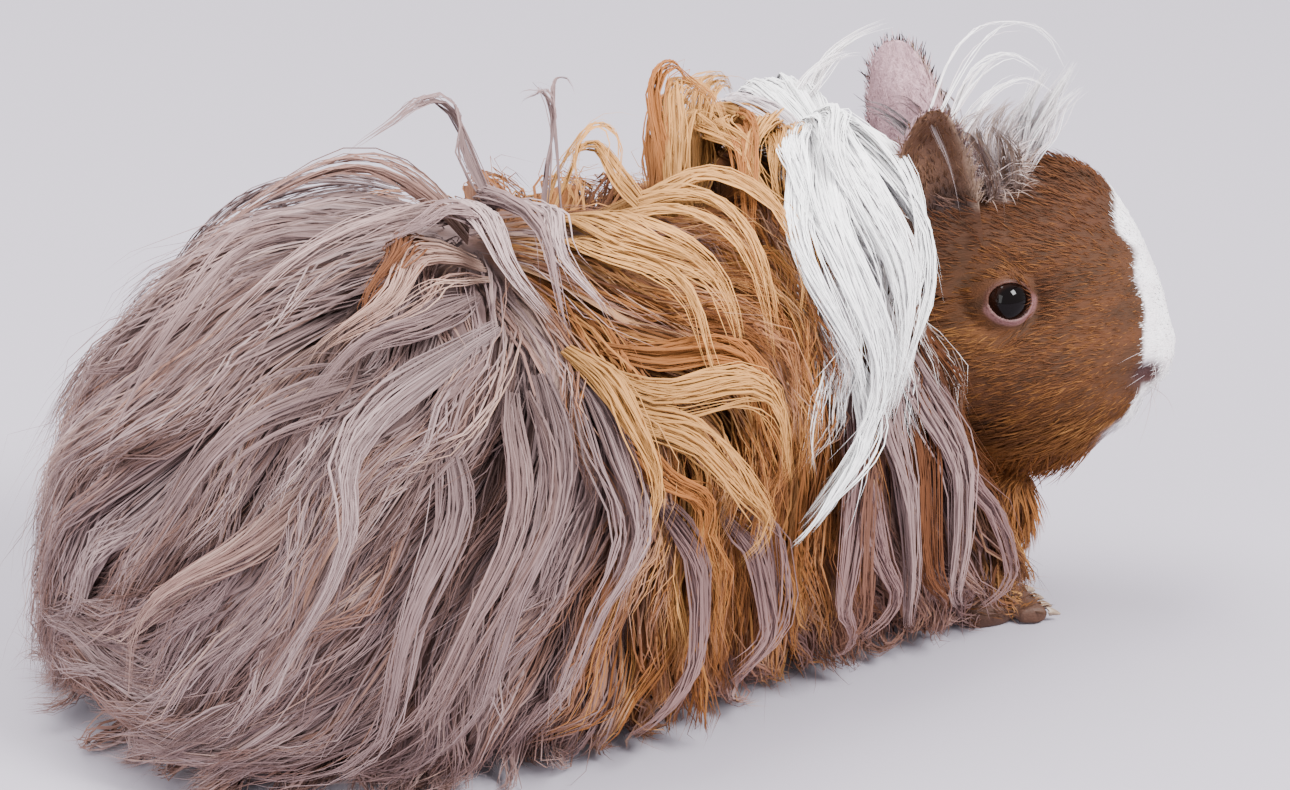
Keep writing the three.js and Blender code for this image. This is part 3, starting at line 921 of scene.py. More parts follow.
def merged_copy(node: str, name: str) -> bpy.types.Object:
    """A copy of one of the solids, with its loose triangles merged."""
    made = bpy.data.objects.new(name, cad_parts[node].data.copy())
    bpy.context.scene.collection.objects.link(made)
    made.data.materials.clear()
    with editing(made):
        bpy.ops.mesh.remove_doubles(threshold=0.001 * MM)
        bpy.ops.mesh.normals_make_consistent(inside=False)
    return made


def apply_modifier(obj: bpy.types.Object, kind: str, **settings: object) -> None:
    """Adds a modifier with its settings and applies it."""
    activate(obj)
    modifier = obj.modifiers.new(kind.lower(), kind)
    for key, value in settings.items():
        setattr(modifier, key, value)
    bpy.ops.object.modifier_apply(modifier=modifier.name)


def join(objects: list[bpy.types.Object], name: str) -> bpy.types.Object:
    """Joins objects into the first of them."""
    deselect()
    for obj in objects:
        obj.select_set(True)
    bpy.context.view_layer.objects.active = objects[0]
    if len(objects) > 1:
        bpy.ops.object.join()
    objects[0].name = name
    return objects[0]


def refine(obj: bpy.types.Object, wanted: Callable[[Array], Array]) -> None:
    """Subdivides the faces whose middles are wanted, once.

    Args:
        obj: the object to refine.
        wanted: gives True or False for each face's middle, in the animal's millimetres.
    """
    mesh = obj.data
    chosen = wanted(PLAN.local(read(mesh.polygons, "center", 3)))
    mesh.vertices.foreach_set("select", np.zeros(len(mesh.vertices), bool))
    mesh.edges.foreach_set("select", np.zeros(len(mesh.edges), bool))
    mesh.polygons.foreach_set("select", chosen.astype(bool))
    activate(obj)
    bpy.context.tool_settings.mesh_select_mode = (False, False, True)
    bpy.ops.object.mode_set(mode="EDIT")
    bpy.ops.mesh.subdivide(number_cuts=1)
    bpy.ops.object.mode_set(mode="OBJECT")


# ---- Skin ----


@dataclass
class Skin:
    """One skin over head, trunk, legs, paws and ears, under the coat by the coat's depth."""

    voxel: float = 1.5 * MM
    paw_voxel: float = 0.7 * MM
    face_fur: float = 1.6  # depth of the face's fur
    eye: tuple[float, float, float] = (EYE[0], 17.8, EYE[2])  # the eyeball's middle, a little sunk
    eye_radius: float = 6.0
    opening: tuple[float, float] = (5.2, 4.2)  # half the length and height of the lids' opening
    throat: tuple[float, float, float] = (75, -6, 25)
    throat_size: tuple[float, float, float] = (9, 12.5, 15)  # half sizes
    obj: bpy.types.Object = field(init=False)

    def depth(self, x: Array, drop: Array) -> Array:
        """How deep the skin lies under the coat's surface at a place on the trunk."""
        long_coat = 13 - 5.5 * ramp(x, 24, 66)
        return long_coat * (1 - 0.35 * ramp(drop, 120, 170))

    def trunk_place(self, share: Array, angle: Array) -> Array:
        """The trunk's skin: its outer form drawn in by the coat's depth."""
        share = np.clip(share, 0.004, 0.996)
        at = trunk_grid(share, angle)
        ahead = trunk_grid(share + 0.003, angle) - trunk_grid(share - 0.003, angle)
        around = trunk_grid(share, angle + 0.02) - trunk_grid(share, angle - 0.02)
        out = unit(np.cross(around, ahead))
        inner = at - out * self.depth(at[:, 0], TRUNK.drop(at))[:, None]
        inner[:, 2] = np.maximum(inner[:, 2], 9)
        return inner

    def head_place(self, share: Array, angle: Array) -> Array:
        """The head's skin: its outer form drawn in by the short fur's depth."""
        at = SKULL.surface(share, angle)
        centre = np.stack([8 + 40 * share, 0 * share, 70 + 0 * share], -1)
        fur = self.face_fur + 2.0 * ramp(at[:, 2], 96, 108) * ramp(at[:, 0], 50, 20)
        fur = fur + 1.4 * ramp(at[:, 2], 55, 38)
        fur = fur * (1 - 0.45 * ramp(at[:, 0], 52, 66))
        return HEAD.out(at - unit(at - centre) * fur[:, None])

    def throat_place(self, share: Array, angle: Array) -> Array:
        """The flesh that joins the jaw to the chest."""
        polar = share * np.pi
        ring = np.sin(polar)
        ball = np.stack([ring * np.cos(angle), ring * np.sin(angle), np.cos(polar)], -1)
        return self.throat + ball * self.throat_size

    def build(self) -> None:
        """Joins the forms into one skin, then models the face on it."""
        trunk = formed_sphere("skin", 96, 80, self.trunk_place)
        head = formed_sphere("skull", 96, 72, self.head_place)
        throat = formed_sphere("throat", 32, 24, self.throat_place)
        legs = [merged_copy(f"{leg}leg_{side}", "leg") for leg in LEGS for side, _ in SIDES]
        self.obj = join([trunk, head, throat, *legs], "skin")
        apply_modifier(self.obj, "REMESH", mode="VOXEL", voxel_size=self.voxel)
        apply_modifier(self.obj, "SMOOTH", factor=0.5, iterations=4)
        for side, sign in SIDES:
            self.add_ear(side, sign)
            for leg in LEGS:
                self.add_paw(f"{leg}paw_{side}")
        self.clean()
        refine(self.obj, self.near_face)
        refine(self.obj, self.near_detail)
        apply_modifier(self.obj, "SMOOTH", factor=0.4, iterations=2)
        self.model_face()
        self.obj.data.shade_smooth()

    def clean(self) -> None:
        """Merges points that the unions left on top of one another."""
        with editing(self.obj):
            bpy.ops.mesh.remove_doubles(threshold=0.02 * MM)
            bpy.ops.mesh.dissolve_degenerate(threshold=0.01 * MM)

    def add_ear(self, side: str, sign: int) -> None:
        """Adds a petal of an ear with a rolled rim, from its solid."""
        ear = merged_copy(f"ear_{side}", "ear")
        apply_modifier(ear, "SUBSURF", levels=2, render_levels=2)
        points = HEAD.into(vertices(ear))
        place = EarPlace(sign)
        across, _, up, _ = place.measure(points)
        ruffle = 0.9 * Drift(9 + sign, 11)(points) * ramp(up, 12, 30)
        ruffle += 1.2 * ramp(across, 6, 12) * ramp(up, 8, 20)
        ruffle -= 3.2 * np.clip(1 - (across / 10.5) ** 2, 0, 1) * ramp(up, 4, 14) * ramp(up, 43, 28)
        points += (place.turn @ np.array([0, sign, 0])) * ruffle[:, None]
        move_vertices(ear, HEAD.out(points))
        self.unite(ear)

    def add_paw(self, node: str) -> None:
        """Adds a paw with its toes and flat sole, from its solid."""
        paw = merged_copy(node, "paw")
        apply_modifier(paw, "REMESH", mode="VOXEL", voxel_size=self.paw_voxel)
        apply_modifier(paw, "SMOOTH", factor=0.5, iterations=3)
        self.unite(paw)

    def unite(self, other: bpy.types.Object) -> None:
        """Joins another closed form to the skin without a seam between them."""
        apply_modifier(self.obj, "BOOLEAN", operation="UNION", solver="MANIFOLD", object=other)
        bpy.data.objects.remove(other)

    @staticmethod
    def near_face(points: Array) -> Array:
        """True for places on the front of the head, which gets twice the detail."""
        x, _, z = HEAD.into(points).T
        return (x > 14) & (z > 34) & (z < 100)

    def near_detail(self, points: Array) -> Array:
        """True for places round the eyes, the nose and the mouth."""
        x, y, z = HEAD.into(points).T
        eye = np.hypot(x - self.eye[0], z - self.eye[2]) < 10
        nose = (x > 57) & (np.abs(y) < 10) & (z > 46) & (z < 72)
        return (eye & (np.abs(y) > 10)) | nose

    def eye_axes(self, sign: int) -> tuple[Array, Array, Array, Array]:
        """The eye's middle and its ways out, forward and up, in the head's frame."""
        middle = np.array([self.eye[0], sign * self.eye[1], self.eye[2]])
        out = unit(np.array([0.2, sign * 0.94, 0.2]))
        forward = flatten(np.array([1.0, 0, -0.2]), out)
        up = np.cross(out, forward) * -sign
        return middle, out, forward, up

    def model_face(self) -> None:
        """Models lids, nostrils, lips, brow and whisker pads by moving the skin's points."""
        points = HEAD.into(vertices(self.obj))
        x, y, z = points.T.copy()
        width = np.abs(y)
        side = np.sign(y)
        pad = hill((x, 61, 6), (width, 7, 5), (z, 58, 6))
        points[:, 0] += 0.5 * pad
        points[:, 1] += side * 1.3 * pad
        points[:, 0] -= 2.2 * hill((z, 53, 4.5)) * ramp(x, 54, 62)
        mouth = self.mouth(x, width, z)
        points[:, 0] -= 1.5 * mouth
        points[:, 1] -= side * 1.1 * mouth
        groove = hill((y, 0, 0.6)) * ramp(z, 53, 55) * ramp(z, 66, 63) * ramp(x, 60, 63)
        points[:, 0] -= groove
        points[:, 0] -= 2.2 * self.nostril(x, width, z, 0.95, 1.7)
        wing = hill((width, 4.9, 1.5), (z, 66, 2.6)) * ramp(x, 60, 63)
        points[:, 0] += 0.7 * wing
        brow = hill((x, 29, 9), (z, 92.5, 3.6)) * ramp(width, 8, 13)
        points[:, 1] += side * brow * ramp(x, 0, 6)
        cheek = hill((x, 32, 13), (z, 62, 10)) * ramp(width, 8, 14)
        points[:, 1] += side * cheek
        for sign in (-1, 1):
            self.model_lids(points, sign)
        move_vertices(self.obj, HEAD.out(points))

    @staticmethod
    def nostril(x: Array, width: Array, z: Array, wide: float, high: float) -> Array:
        """How near a place is to a nostril of a width and height, from 0 to 1."""
        return hill((width - 3.2 - 0.35 * (z - 65), 0, wide), (z, 65.2, high)) * ramp(x, 60, 63)

    @staticmethod
    def mouth(x: Array, width: Array, z: Array) -> Array:
        """How near a place is to the line between the lips, or to its corner, from 0 to 1."""
        line = hill((z - 54.5 - 0.7 * width, 0, 0.8)) * ramp(x, 57, 59.5) * ramp(width, 11.5, 9)
        corner = 1.4 * hill((x, 59.8, 2.8), (z, 60.6, 2.6)) * ramp(width, 4, 6)
        return np.clip(line + corner, 0, 1)

    def model_lids(self, points: Array, sign: int) -> None:
        """Wraps the skin over the eyeball, with an almond opening and a rolled rim."""
        middle, out, forward, up = self.eye_axes(sign)
        away = points - middle
        near = (np.linalg.norm(away, axis=1) < 13) & (away @ out > -2.5)
        a, b, height = away[near] @ forward, away[near] @ up, away[near] @ out
        ellipse = np.maximum(np.hypot(a / self.opening[0], b / self.opening[1]), 1e-3)
        flat = np.hypot(a, b)
        behind = np.sqrt(np.maximum(self.eye_radius**2 - flat**2, 1)) - 1.6
        rim = flat / ellipse
        over = np.sqrt(self.eye_radius**2 - rim**2) + 0.4 - 0.55 * (flat - rim)
        over += 0.3 * hill((ellipse, 1.12, 0.08))
        change = (np.where(ellipse < 1, behind, over) - height) * ramp(ellipse, 2.2, 1.2)
        points[near] += change[:, None] * out

    def paint(self) -> None:
        """Gives the skin the coat's markings in darker tones, painted shade in the nostrils and between the
        lips, and its bare places.
        """
        points = vertices(self.obj)
        head = HEAD.into(points)
        outward = HEAD.into(points + vertex_normals(self.obj)) - head
        still = np.zeros(len(points))
        # painted shade: the skin takes the coat's colours in darker tones, for where it shows deep between
        # the hairs
        colour = MARKINGS.trunk(points, still - 0.35)
        near = head[:, 0] > -12
        share = np.zeros(len(points))
        share[near] = ramp(-HEAD_SHAPE.outside(points[near]), -6, -1.5)
        colour = blend(colour, MARKINGS.head(head, still - 0.5), share)
        bare = np.zeros(len(points))
        for sign in (-1, 1):
            middle, out, forward, up = self.eye_axes(sign)
            away = head - middle
            ellipse = np.hypot(away @ forward / self.opening[0], away @ up / self.opening[1])
            front = (away @ out > 0) * (np.linalg.norm(away, axis=1) < 9)
            below = ramp(away @ up - 0.4 * (away @ forward), 1.5, -1.5)[:, None]
            rim_colour = Pelt.RIM.rgb * below + Pelt.RIM_DARK.rgb * (1 - below)
            rim = ramp(ellipse, 1.3 + 0.16 * below[:, 0], 1.16 + 0.12 * below[:, 0]) * front
            colour = colour * (1 - rim[:, None]) + rim_colour * rim[:, None]
            colour = blend(colour, Pelt.FACE_DARK.rgb * 0.4, rim * ramp(ellipse, 1.07, 1.0))
            bare = np.maximum(bare, rim)
            place = EarPlace(sign)
            on_ear = place.measure(head)[3]
            colour = blend(colour, MARKINGS.ear(place, head, outward, still), on_ear)
            bare = np.maximum(bare, on_ear)
        x, width, z = head[:, 0], np.abs(head[:, 1]), head[:, 2]
        nostril = self.nostril(x, width, z, 1.2, 1.9)
        leather = ramp(x, 63.5, 65.5) * ramp(np.hypot(width / 5.6, (z - 65.5) / 3.4), 1.1, 0.8)
        colour = blend(colour, Pelt.NOSE.rgb, leather * 0.8)
        # painted shade inside the nostrils
        colour = blend(colour, Pelt.FACE_DARK.rgb * 0.35, np.clip(nostril * 1.4, 0, 1))
        # painted shade along the line between the lips
        mouth = self.mouth(x, width, z)
        colour = blend(colour, Pelt.MOUTH.rgb, np.clip(mouth * 1.3, 0, 1))
        bare = np.maximum(bare, np.maximum(leather, mouth))
        ahead, aside, up = points.T
        feet = np.maximum(ramp(ahead, 52, 57), ramp(np.abs(ahead + 62), 24, 20)) * (np.abs(aside) > 12)
        feet = ramp(up, 13, 9) * feet
        colour = blend(colour, Pelt.PAW.rgb, feet)
        bare = np.maximum(bare, feet * 0.7)
        store_pelt(self.obj.data, colour)
        store(self.obj.data, "bare", "FLOAT", bare)

    def unwrap(self) -> None:
        """Unwraps the skin, so that each hair can find its root's place on the map."""
        with editing(self.obj):
            bpy.ops.uv.smart_project(angle_limit=math.radians(66), island_margin=0.004)

    def dress(self) -> None:
        """Paints the skin, gives it its finish and puts it in place of the solids."""
        self.unwrap()
        self.paint()
        self.obj.data.materials.clear()
        self.obj.data.materials.append(HideFinish().make())
        flesh = ["rump", "saddle", "shoulders", "chest", "head", "muzzle", "crest"]
        for side, _ in SIDES:
            flesh += [f"ear_{side}"] + [f"{leg}{part}_{side}" for leg in LEGS for part in ("leg", "paw")]
        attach(self.obj, "root")
        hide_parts(*flesh)


class SkinMap:
    """Finds places on the finished skin: its triangles, its unwrap and random roots on it."""

    def __init__(self, obj: bpy.types.Object) -> None:
        """Reads the skin's triangles and their map."""
        mesh = obj.data
        mesh.calc_loop_triangles()
        self.points = vertices(obj)
        self.corners = read(mesh.loop_triangles, "vertices", 3, np.int32)
        loops = read(mesh.loop_triangles, "loops", 3, np.int32)
        self.uv = read(mesh.uv_layers.active.data, "uv", 2)[loops]
        self.normals = vertex_normals(obj)
        a, b, c = (self.points[self.corners[:, k]] for k in range(3))
        cross = np.cross(b - a, c - a)
        self.areas = np.linalg.norm(cross, axis=1) / 2
        self.centres = (a + b + c) / 3
        self.tree = BVHTree.FromPolygons([tuple(p) for p in self.points], self.corners.tolist())

    def uv_at(self, points: Array) -> Array:
        """The unwrap's place of the nearest point of the skin."""
        found = [self.tree.find_nearest(Vector(p)) for p in points]
        places = np.array([f[0] for f in found])
        triangle = np.array([f[2] for f in found])
        a, b, c = (self.points[self.corners[triangle, k]] for k in range(3))
        v0, v1, v2 = b - a, c - a, places - a
        d00, d01, d11 = (v0 * v0).sum(1), (v0 * v1).sum(1), (v1 * v1).sum(1)
        d20, d21 = (v2 * v0).sum(1), (v2 * v1).sum(1)
        under = np.maximum(d00 * d11 - d01 * d01, 1e-12)
        v = np.clip((d11 * d20 - d01 * d21) / under, 0, 1)
        w = np.clip((d00 * d21 - d01 * d20) / under, 0, 1)
        weights = np.stack([np.clip(1 - v - w, 0, 1), v, w], 1)
        return (self.uv[triangle] * weights[:, :, None]).sum(1)

    def scatter(self, count: int, wanted: Callable[[Array], Array], seed: int) -> tuple[Array, Array]:
        """Random roots on the skin.

        Args:
            count: how many to draw.
            wanted: gives a share from 0 to 1 of hairs kept at each place.
            seed: which draw this is.

        Returns:
            Root places and unit normals.
        """
        random = np.random.default_rng(seed)
        weight = self.areas * wanted(self.centres)
        chosen = random.choice(len(weight), size=count, p=weight / weight.sum())
        u, v = random.random((2, count))
        fold = u + v > 1
        u, v = np.where(fold, 1 - u, u), np.where(fold, 1 - v, v)
        a, b, c = (self.corners[chosen, k] for k in range(3))
        shares = (1 - u - v, u, v)
        place = sum(self.points[i] * s[:, None] for i, s in zip((a, b, c), shares))
        normal = sum(self.normals[i] * s[:, None] for i, s in zip((a, b, c), shares))
        return place, unit(normal)

    def scatter_on_head(
        self, count: int, wanted: Callable[[Array], Array], seed: int
    ) -> tuple[Array, Array, Array]:
        """Random roots on the head.

        Args:
            count: how many to draw.
            wanted: gives a share from 0 to 1 of hairs kept at each place.
            seed: which draw this is.

        Returns:
            Unit normals, and the roots and unit normals in the head's frame.
        """
        roots, out = self.scatter(count, wanted, seed)
        head = HEAD.into(roots)
        return out, head, HEAD.into(roots + out) - head


# ---- Tufts ----

HALF_BREADTH = 79  # hairs that would reach further out are pressed in
FLOOR, TOP = 0.15, 142  # hairs stay over the floor and are pressed down at the top
PATCH = 0.003  # how much of the skin's map a hair takes


@dataclass
class Tufts:
    """Tapered closed hairs or locks, all with the same number of rings."""

    paths: Array  # (n, rings, 3), millimetres
    out: Array  # (n, 3) or (n, rings, 3), the way that each hair's flat face looks
    width: Array  # (n,), widest diameter
    colour: Array  # (n, 3), linear
    thick: float = 0.75  # thickness as a share of the width
    sides: int = 3
    root_shade: float = 0.5  # painted shade: colour at the root as a share of the colour at the tip, for the shadow deep in the coat
    fullness: float = 0.35  # how much of the length has nearly the full width
    soft: float = 0.6  # how far the shading follows the coat's surface and not each tuft's own

    def girth(self, share: Array) -> Array:
        """The hair's width along its length, as a share of the widest."""
        return (0.55 + 0.45 * ramp(share, 0, 0.25)) * (1 - ramp(share, self.fullness, 1.08) ** 1.3)

    def arrays(self, roots_uv: Array) -> dict[str, Array]:
        """Points, faces, colours and map of all the hairs."""
        n, rings, _ = self.paths.shape
        share = np.linspace(0, 1, rings)
        ahead = np.gradient(self.paths, axis=1)
        out = self.out if self.out.ndim == 3 else np.repeat(self.out[:, None], rings, 1)
        side = unit(np.cross(ahead, out))
        face = unit(np.cross(side, ahead))
        radius = (self.width[:, None] / 2) * self.girth(share)
        turn = np.arange(self.sides) / self.sides * TAU + math.pi / 2
        sideways = np.cos(turn)[:, None] * side[:, :-1, None]
        round_out = sideways + np.sin(turn)[:, None] * face[:, :-1, None]
        flat = sideways + self.thick * np.sin(turn)[:, None] * face[:, :-1, None]
        ring = self.paths[:, :-1, None] + radius[:, :-1, None, None] * flat
        normal = unit(round_out * (1 - self.soft) + self.soft * out[:, :-1, None])
        normal = np.concatenate([normal.reshape(n, -1, 3), out[:, -1:]], 1)
        run = np.linalg.norm(self.paths[:, -1] - self.paths[:, 0], axis=1)
        per = self.sides * (rings - 1) + 1
        strand = np.zeros((n, per, 3))
        strand[:, :-1, 0] = np.tile(np.arange(self.sides) / self.sides * 2.5, rings - 1) * self.width[:, None]
        strand[..., 1] = (np.arange(n) * 1.618 % 97)[:, None]
        strand[..., 2] = np.r_[np.repeat(share[:-1], self.sides), 1] * run[:, None] / 14
        strand[:, -1, 0] = 1.2 * self.width
        points = np.concatenate([ring.reshape(n, -1, 3), self.paths[:, -1:]], 1)
        wide = np.clip(points[..., 1], -HALF_BREADTH, HALF_BREADTH)
        points[..., 1] = wide + 0.3 * (points[..., 1] - wide)
        high = np.clip(points[..., 2], FLOOR, TOP)
        points[..., 2] = high + 0.35 * np.maximum(points[..., 2] - high, 0)
        # painted shade: each hair darkens from its tip towards its root, standing in for the shadow deep in
        # the coat
        shade = self.root_shade + (1 - self.root_shade) * ramp(share, 0.05, 0.6)
        shade = np.r_[np.repeat(shade[:-1], self.sides), shade[-1]]
        colour = self.colour[:, None] * shade[None, :, None]
        k = np.arange(self.sides)
        after = (k + 1) % self.sides
        quads = [
            [i * self.sides + a, (i + 1) * self.sides + a, (i + 1) * self.sides + b, i * self.sides + b]
            for i in range(rings - 2)
            for a, b in zip(k, after)
        ]
        last = (rings - 2) * self.sides
        tips = [[last + a, per - 1, last + b] for a, b in zip(k, after)]
        corner = np.array(k.tolist() + sum(quads, []) + sum(tips, []))
        totals = np.array([self.sides] + [4] * len(quads) + [3] * len(tips))
        along = np.r_[np.repeat(share[:-1], self.sides), 1.0]
        across = np.r_[np.tile(k / max(self.sides - 1, 1), rings - 1), 0.5]
        patch = np.stack([(along - 0.5) * PATCH, (across - 0.5) * PATCH], -1)
        uv = np.clip(roots_uv[:, None] + patch[corner][None], 0, 1)
        return {
            "points": points.reshape(-1, 3),
            "colour": colour.reshape(-1, 3),
            "corners": (corner[None] + per * np.arange(n)[:, None]).ravel(),
            "totals": np.tile(totals, n),
            "uv": uv.reshape(-1, 2),
            "normal": normal.reshape(-1, 3),
            "strand": strand.reshape(-1, 3),
        }


class CoatPiece:
    """One piece of the coat: a joined mesh of many tufts."""

    def __init__(self, name: str, slot: str) -> None:
        """Starts an empty piece and keeps the name of its slot."""
        self.name = name
        self.slot = slot
        self.batches: list[Tufts] = []

    def add(self, tufts: Tufts) -> None:
        """Adds tufts to the piece."""
        if len(tufts.paths):
            self.batches.append(tufts)

    def build(self, skin: SkinMap, finish: bpy.types.Material) -> None:
        """Makes the mesh, with its colours and its OFBake map.

        Args:
            skin: the skin that the hairs are rooted in.
            finish: the hair's material.
        """
        made = [batch.arrays(skin.uv_at(batch.paths[:, 0])) for batch in self.batches]
        offset = np.cumsum([0] + [len(m["points"]) for m in made])
        corners = np.concatenate([m["corners"] + o for m, o in zip(made, offset)])
        joined = {key: np.concatenate([m[key] for m in made]) for key in made[0] if key != "corners"}
        totals = joined["totals"]
        mesh = bpy.data.meshes.new(self.name)
        mesh.vertices.add(offset[-1])
        mesh.vertices.foreach_set("co", PLAN.world(joined["points"]).astype(np.float32).ravel())
        mesh.loops.add(len(corners))
        mesh.loops.foreach_set("vertex_index", corners.astype(np.int32))
        mesh.polygons.add(len(totals))
        mesh.polygons.foreach_set("loop_start", np.r_[0, np.cumsum(totals)[:-1]].astype(np.int32))
        mesh.update(calc_edges=True)
        mesh.validate()
        mesh.shade_smooth()
        store_pelt(mesh, joined["colour"])
        mesh.normals_split_custom_set_from_vertices(unit(joined["normal"]).tolist())
        store(mesh, "strand", "FLOAT_VECTOR", joined["strand"])
        layer = mesh.uv_layers.new(name="OFBake")
        layer.data.foreach_set("uv", joined["uv"].astype(np.float32).ravel())
        mesh.materials.append(finish)
        obj = bpy.data.objects.new(self.name, mesh)
        bpy.context.scene.collection.objects.link(obj)
        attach(obj, "root")
        hairs = sum(len(batch.paths) for batch in self.batches)
        LOG.info("%s: %d tufts, %d triangles", self.name, hairs, (totals - 2).sum())


# ---- Long coat ----

# Strokes of the comb: (x, degrees down from the spine, heading). Heading 0 runs down the side,
# 90 towards the tail and -90 towards the nose.
RUMP_STROKES = [
    (-66, 10, 55), (-80, 10, 80), (-105, 10, 80), (-130, 10, 85), (-62, 26, 36), (-80, 28, 62),
    (-105, 30, 66), (-130, 34, 70), (-150, 40, 60), (-60, 38, 34), (-50, 50, -12), (-60, 52, 22),
    (-76, 50, 62), (-92, 55, 66), (-108, 57, 30), (-130, 58, 62), (-47, 64, -14), (-58, 70, 6),
    (-72, 68, 30), (-90, 68, 62), (-106, 68, 8), (-124, 74, 60), (-146, 76, 62), (-46, 80, 14),
    (-60, 86, 28), (-75, 88, 34), (-92, 88, 36), (-110, 86, 38), (-130, 92, 58), (-150, 96, 60),
    (-48, 98, 38), (-62, 106, 44), (-80, 110, 46), (-100, 114, 50), (-124, 116, 56), (-148, 116, 60),
    (-50, 118, 44), (-66, 128, 48), (-92, 128, 52), (-130, 128, 58),
]
SADDLE_STROKES = [
    (-30, 6, -62), (-14, 6, -50), (0, 6, -20), (-46, 12, -22), (-36, 16, -42), (-25, 22, -52),
    (-10, 22, -36), (3, 25, -8), (-48, 30, -16), (-38, 34, -24), (-28, 40, -46), (-16, 42, -40),
    (-6, 44, -22), (4, 50, 0), (-38, 56, -30), (-28, 58, -50), (-14, 58, -38), (0, 64, 4), (-36, 72, -18),
    (-26, 74, -10), (-12, 76, 8), (-2, 80, 24), (6, 84, 10), (-36, 92, 10), (-24, 96, 14), (-10, 96, 18),
    (2, 96, 12), (-34, 116, 14), (-18, 116, 12), (0, 116, 8),
]
FRONT_STROKES = [
    (15, 6, 0), (30, 6, 5), (15, 26, 5), (30, 26, 8), (15, 46, 6), (30, 46, 10), (18, 66, 20),
    (30, 66, 14), (20, 86, 18), (12, 88, 18), (40, 52, -6), (46, 62, -10), (36, 82, 0), (46, 86, -8),
    (56, 76, -12), (36, 106, 0), (48, 110, -14), (60, 100, -20), (68, 100, -30), (12, 112, 4),
    (24, 118, 4), (72, 80, -20),
]


class Comb:
    """The lie of the coat: directions over the trunk, blended from strokes."""

    def __init__(self) -> None:
        """Lays the strokes on both sides; the left side's are the right's, a little calmer."""
        strokes = RUMP_STROKES + SADDLE_STROKES + FRONT_STROKES
        places, ways = [], []
        for side in (-1, 1):
            for x, drop, heading in strokes:
                calm = heading if side < 0 else heading * 0.8 + 8 * (x < -40)
                turn = math.radians(calm)
                here = TRUNK.place(x, drop, side)
                down = unit(TRUNK.place(x, drop + 2, side) - here)
                back = unit(TRUNK.place(x - 2, drop, side) - here)
                places.append(here)
                ways.append(math.cos(turn) * down + math.sin(turn) * back)
        self.places, self.ways = np.array(places), np.array(ways)

    def at(self, points: Array) -> Array:
        """The coat's direction at each place, not yet laid into the surface."""
        apart = np.linalg.norm(points[:, None] - self.places[None], axis=2)
        weight = 1 / (apart**2 + 25) ** 2
        return unit(weight @ self.ways)


def between(source: Array, at: Array, rows: Array) -> Array:
    """Values between steps.

    Args:
        source: (rows, steps, 3) values at each step.
        at: (n, rings) how many steps along to read.
        rows: (n,) the row of the source that each of them reads.

    Returns:
        (n, rings, 3) values.
    """
    low = np.minimum(at.astype(int), source.shape[1] - 2)
    part = (at - low)[..., None]
    return source[rows[:, None], low] * (1 - part) + source[rows[:, None], low + 1] * part


@dataclass
class Locks:
    """Paths for locks of hair over the coat."""

    paths: Array  # (n, steps, 3)
    out: Array  # (n, steps, 3)
    roots: Array  # (n, 3) on the outer form


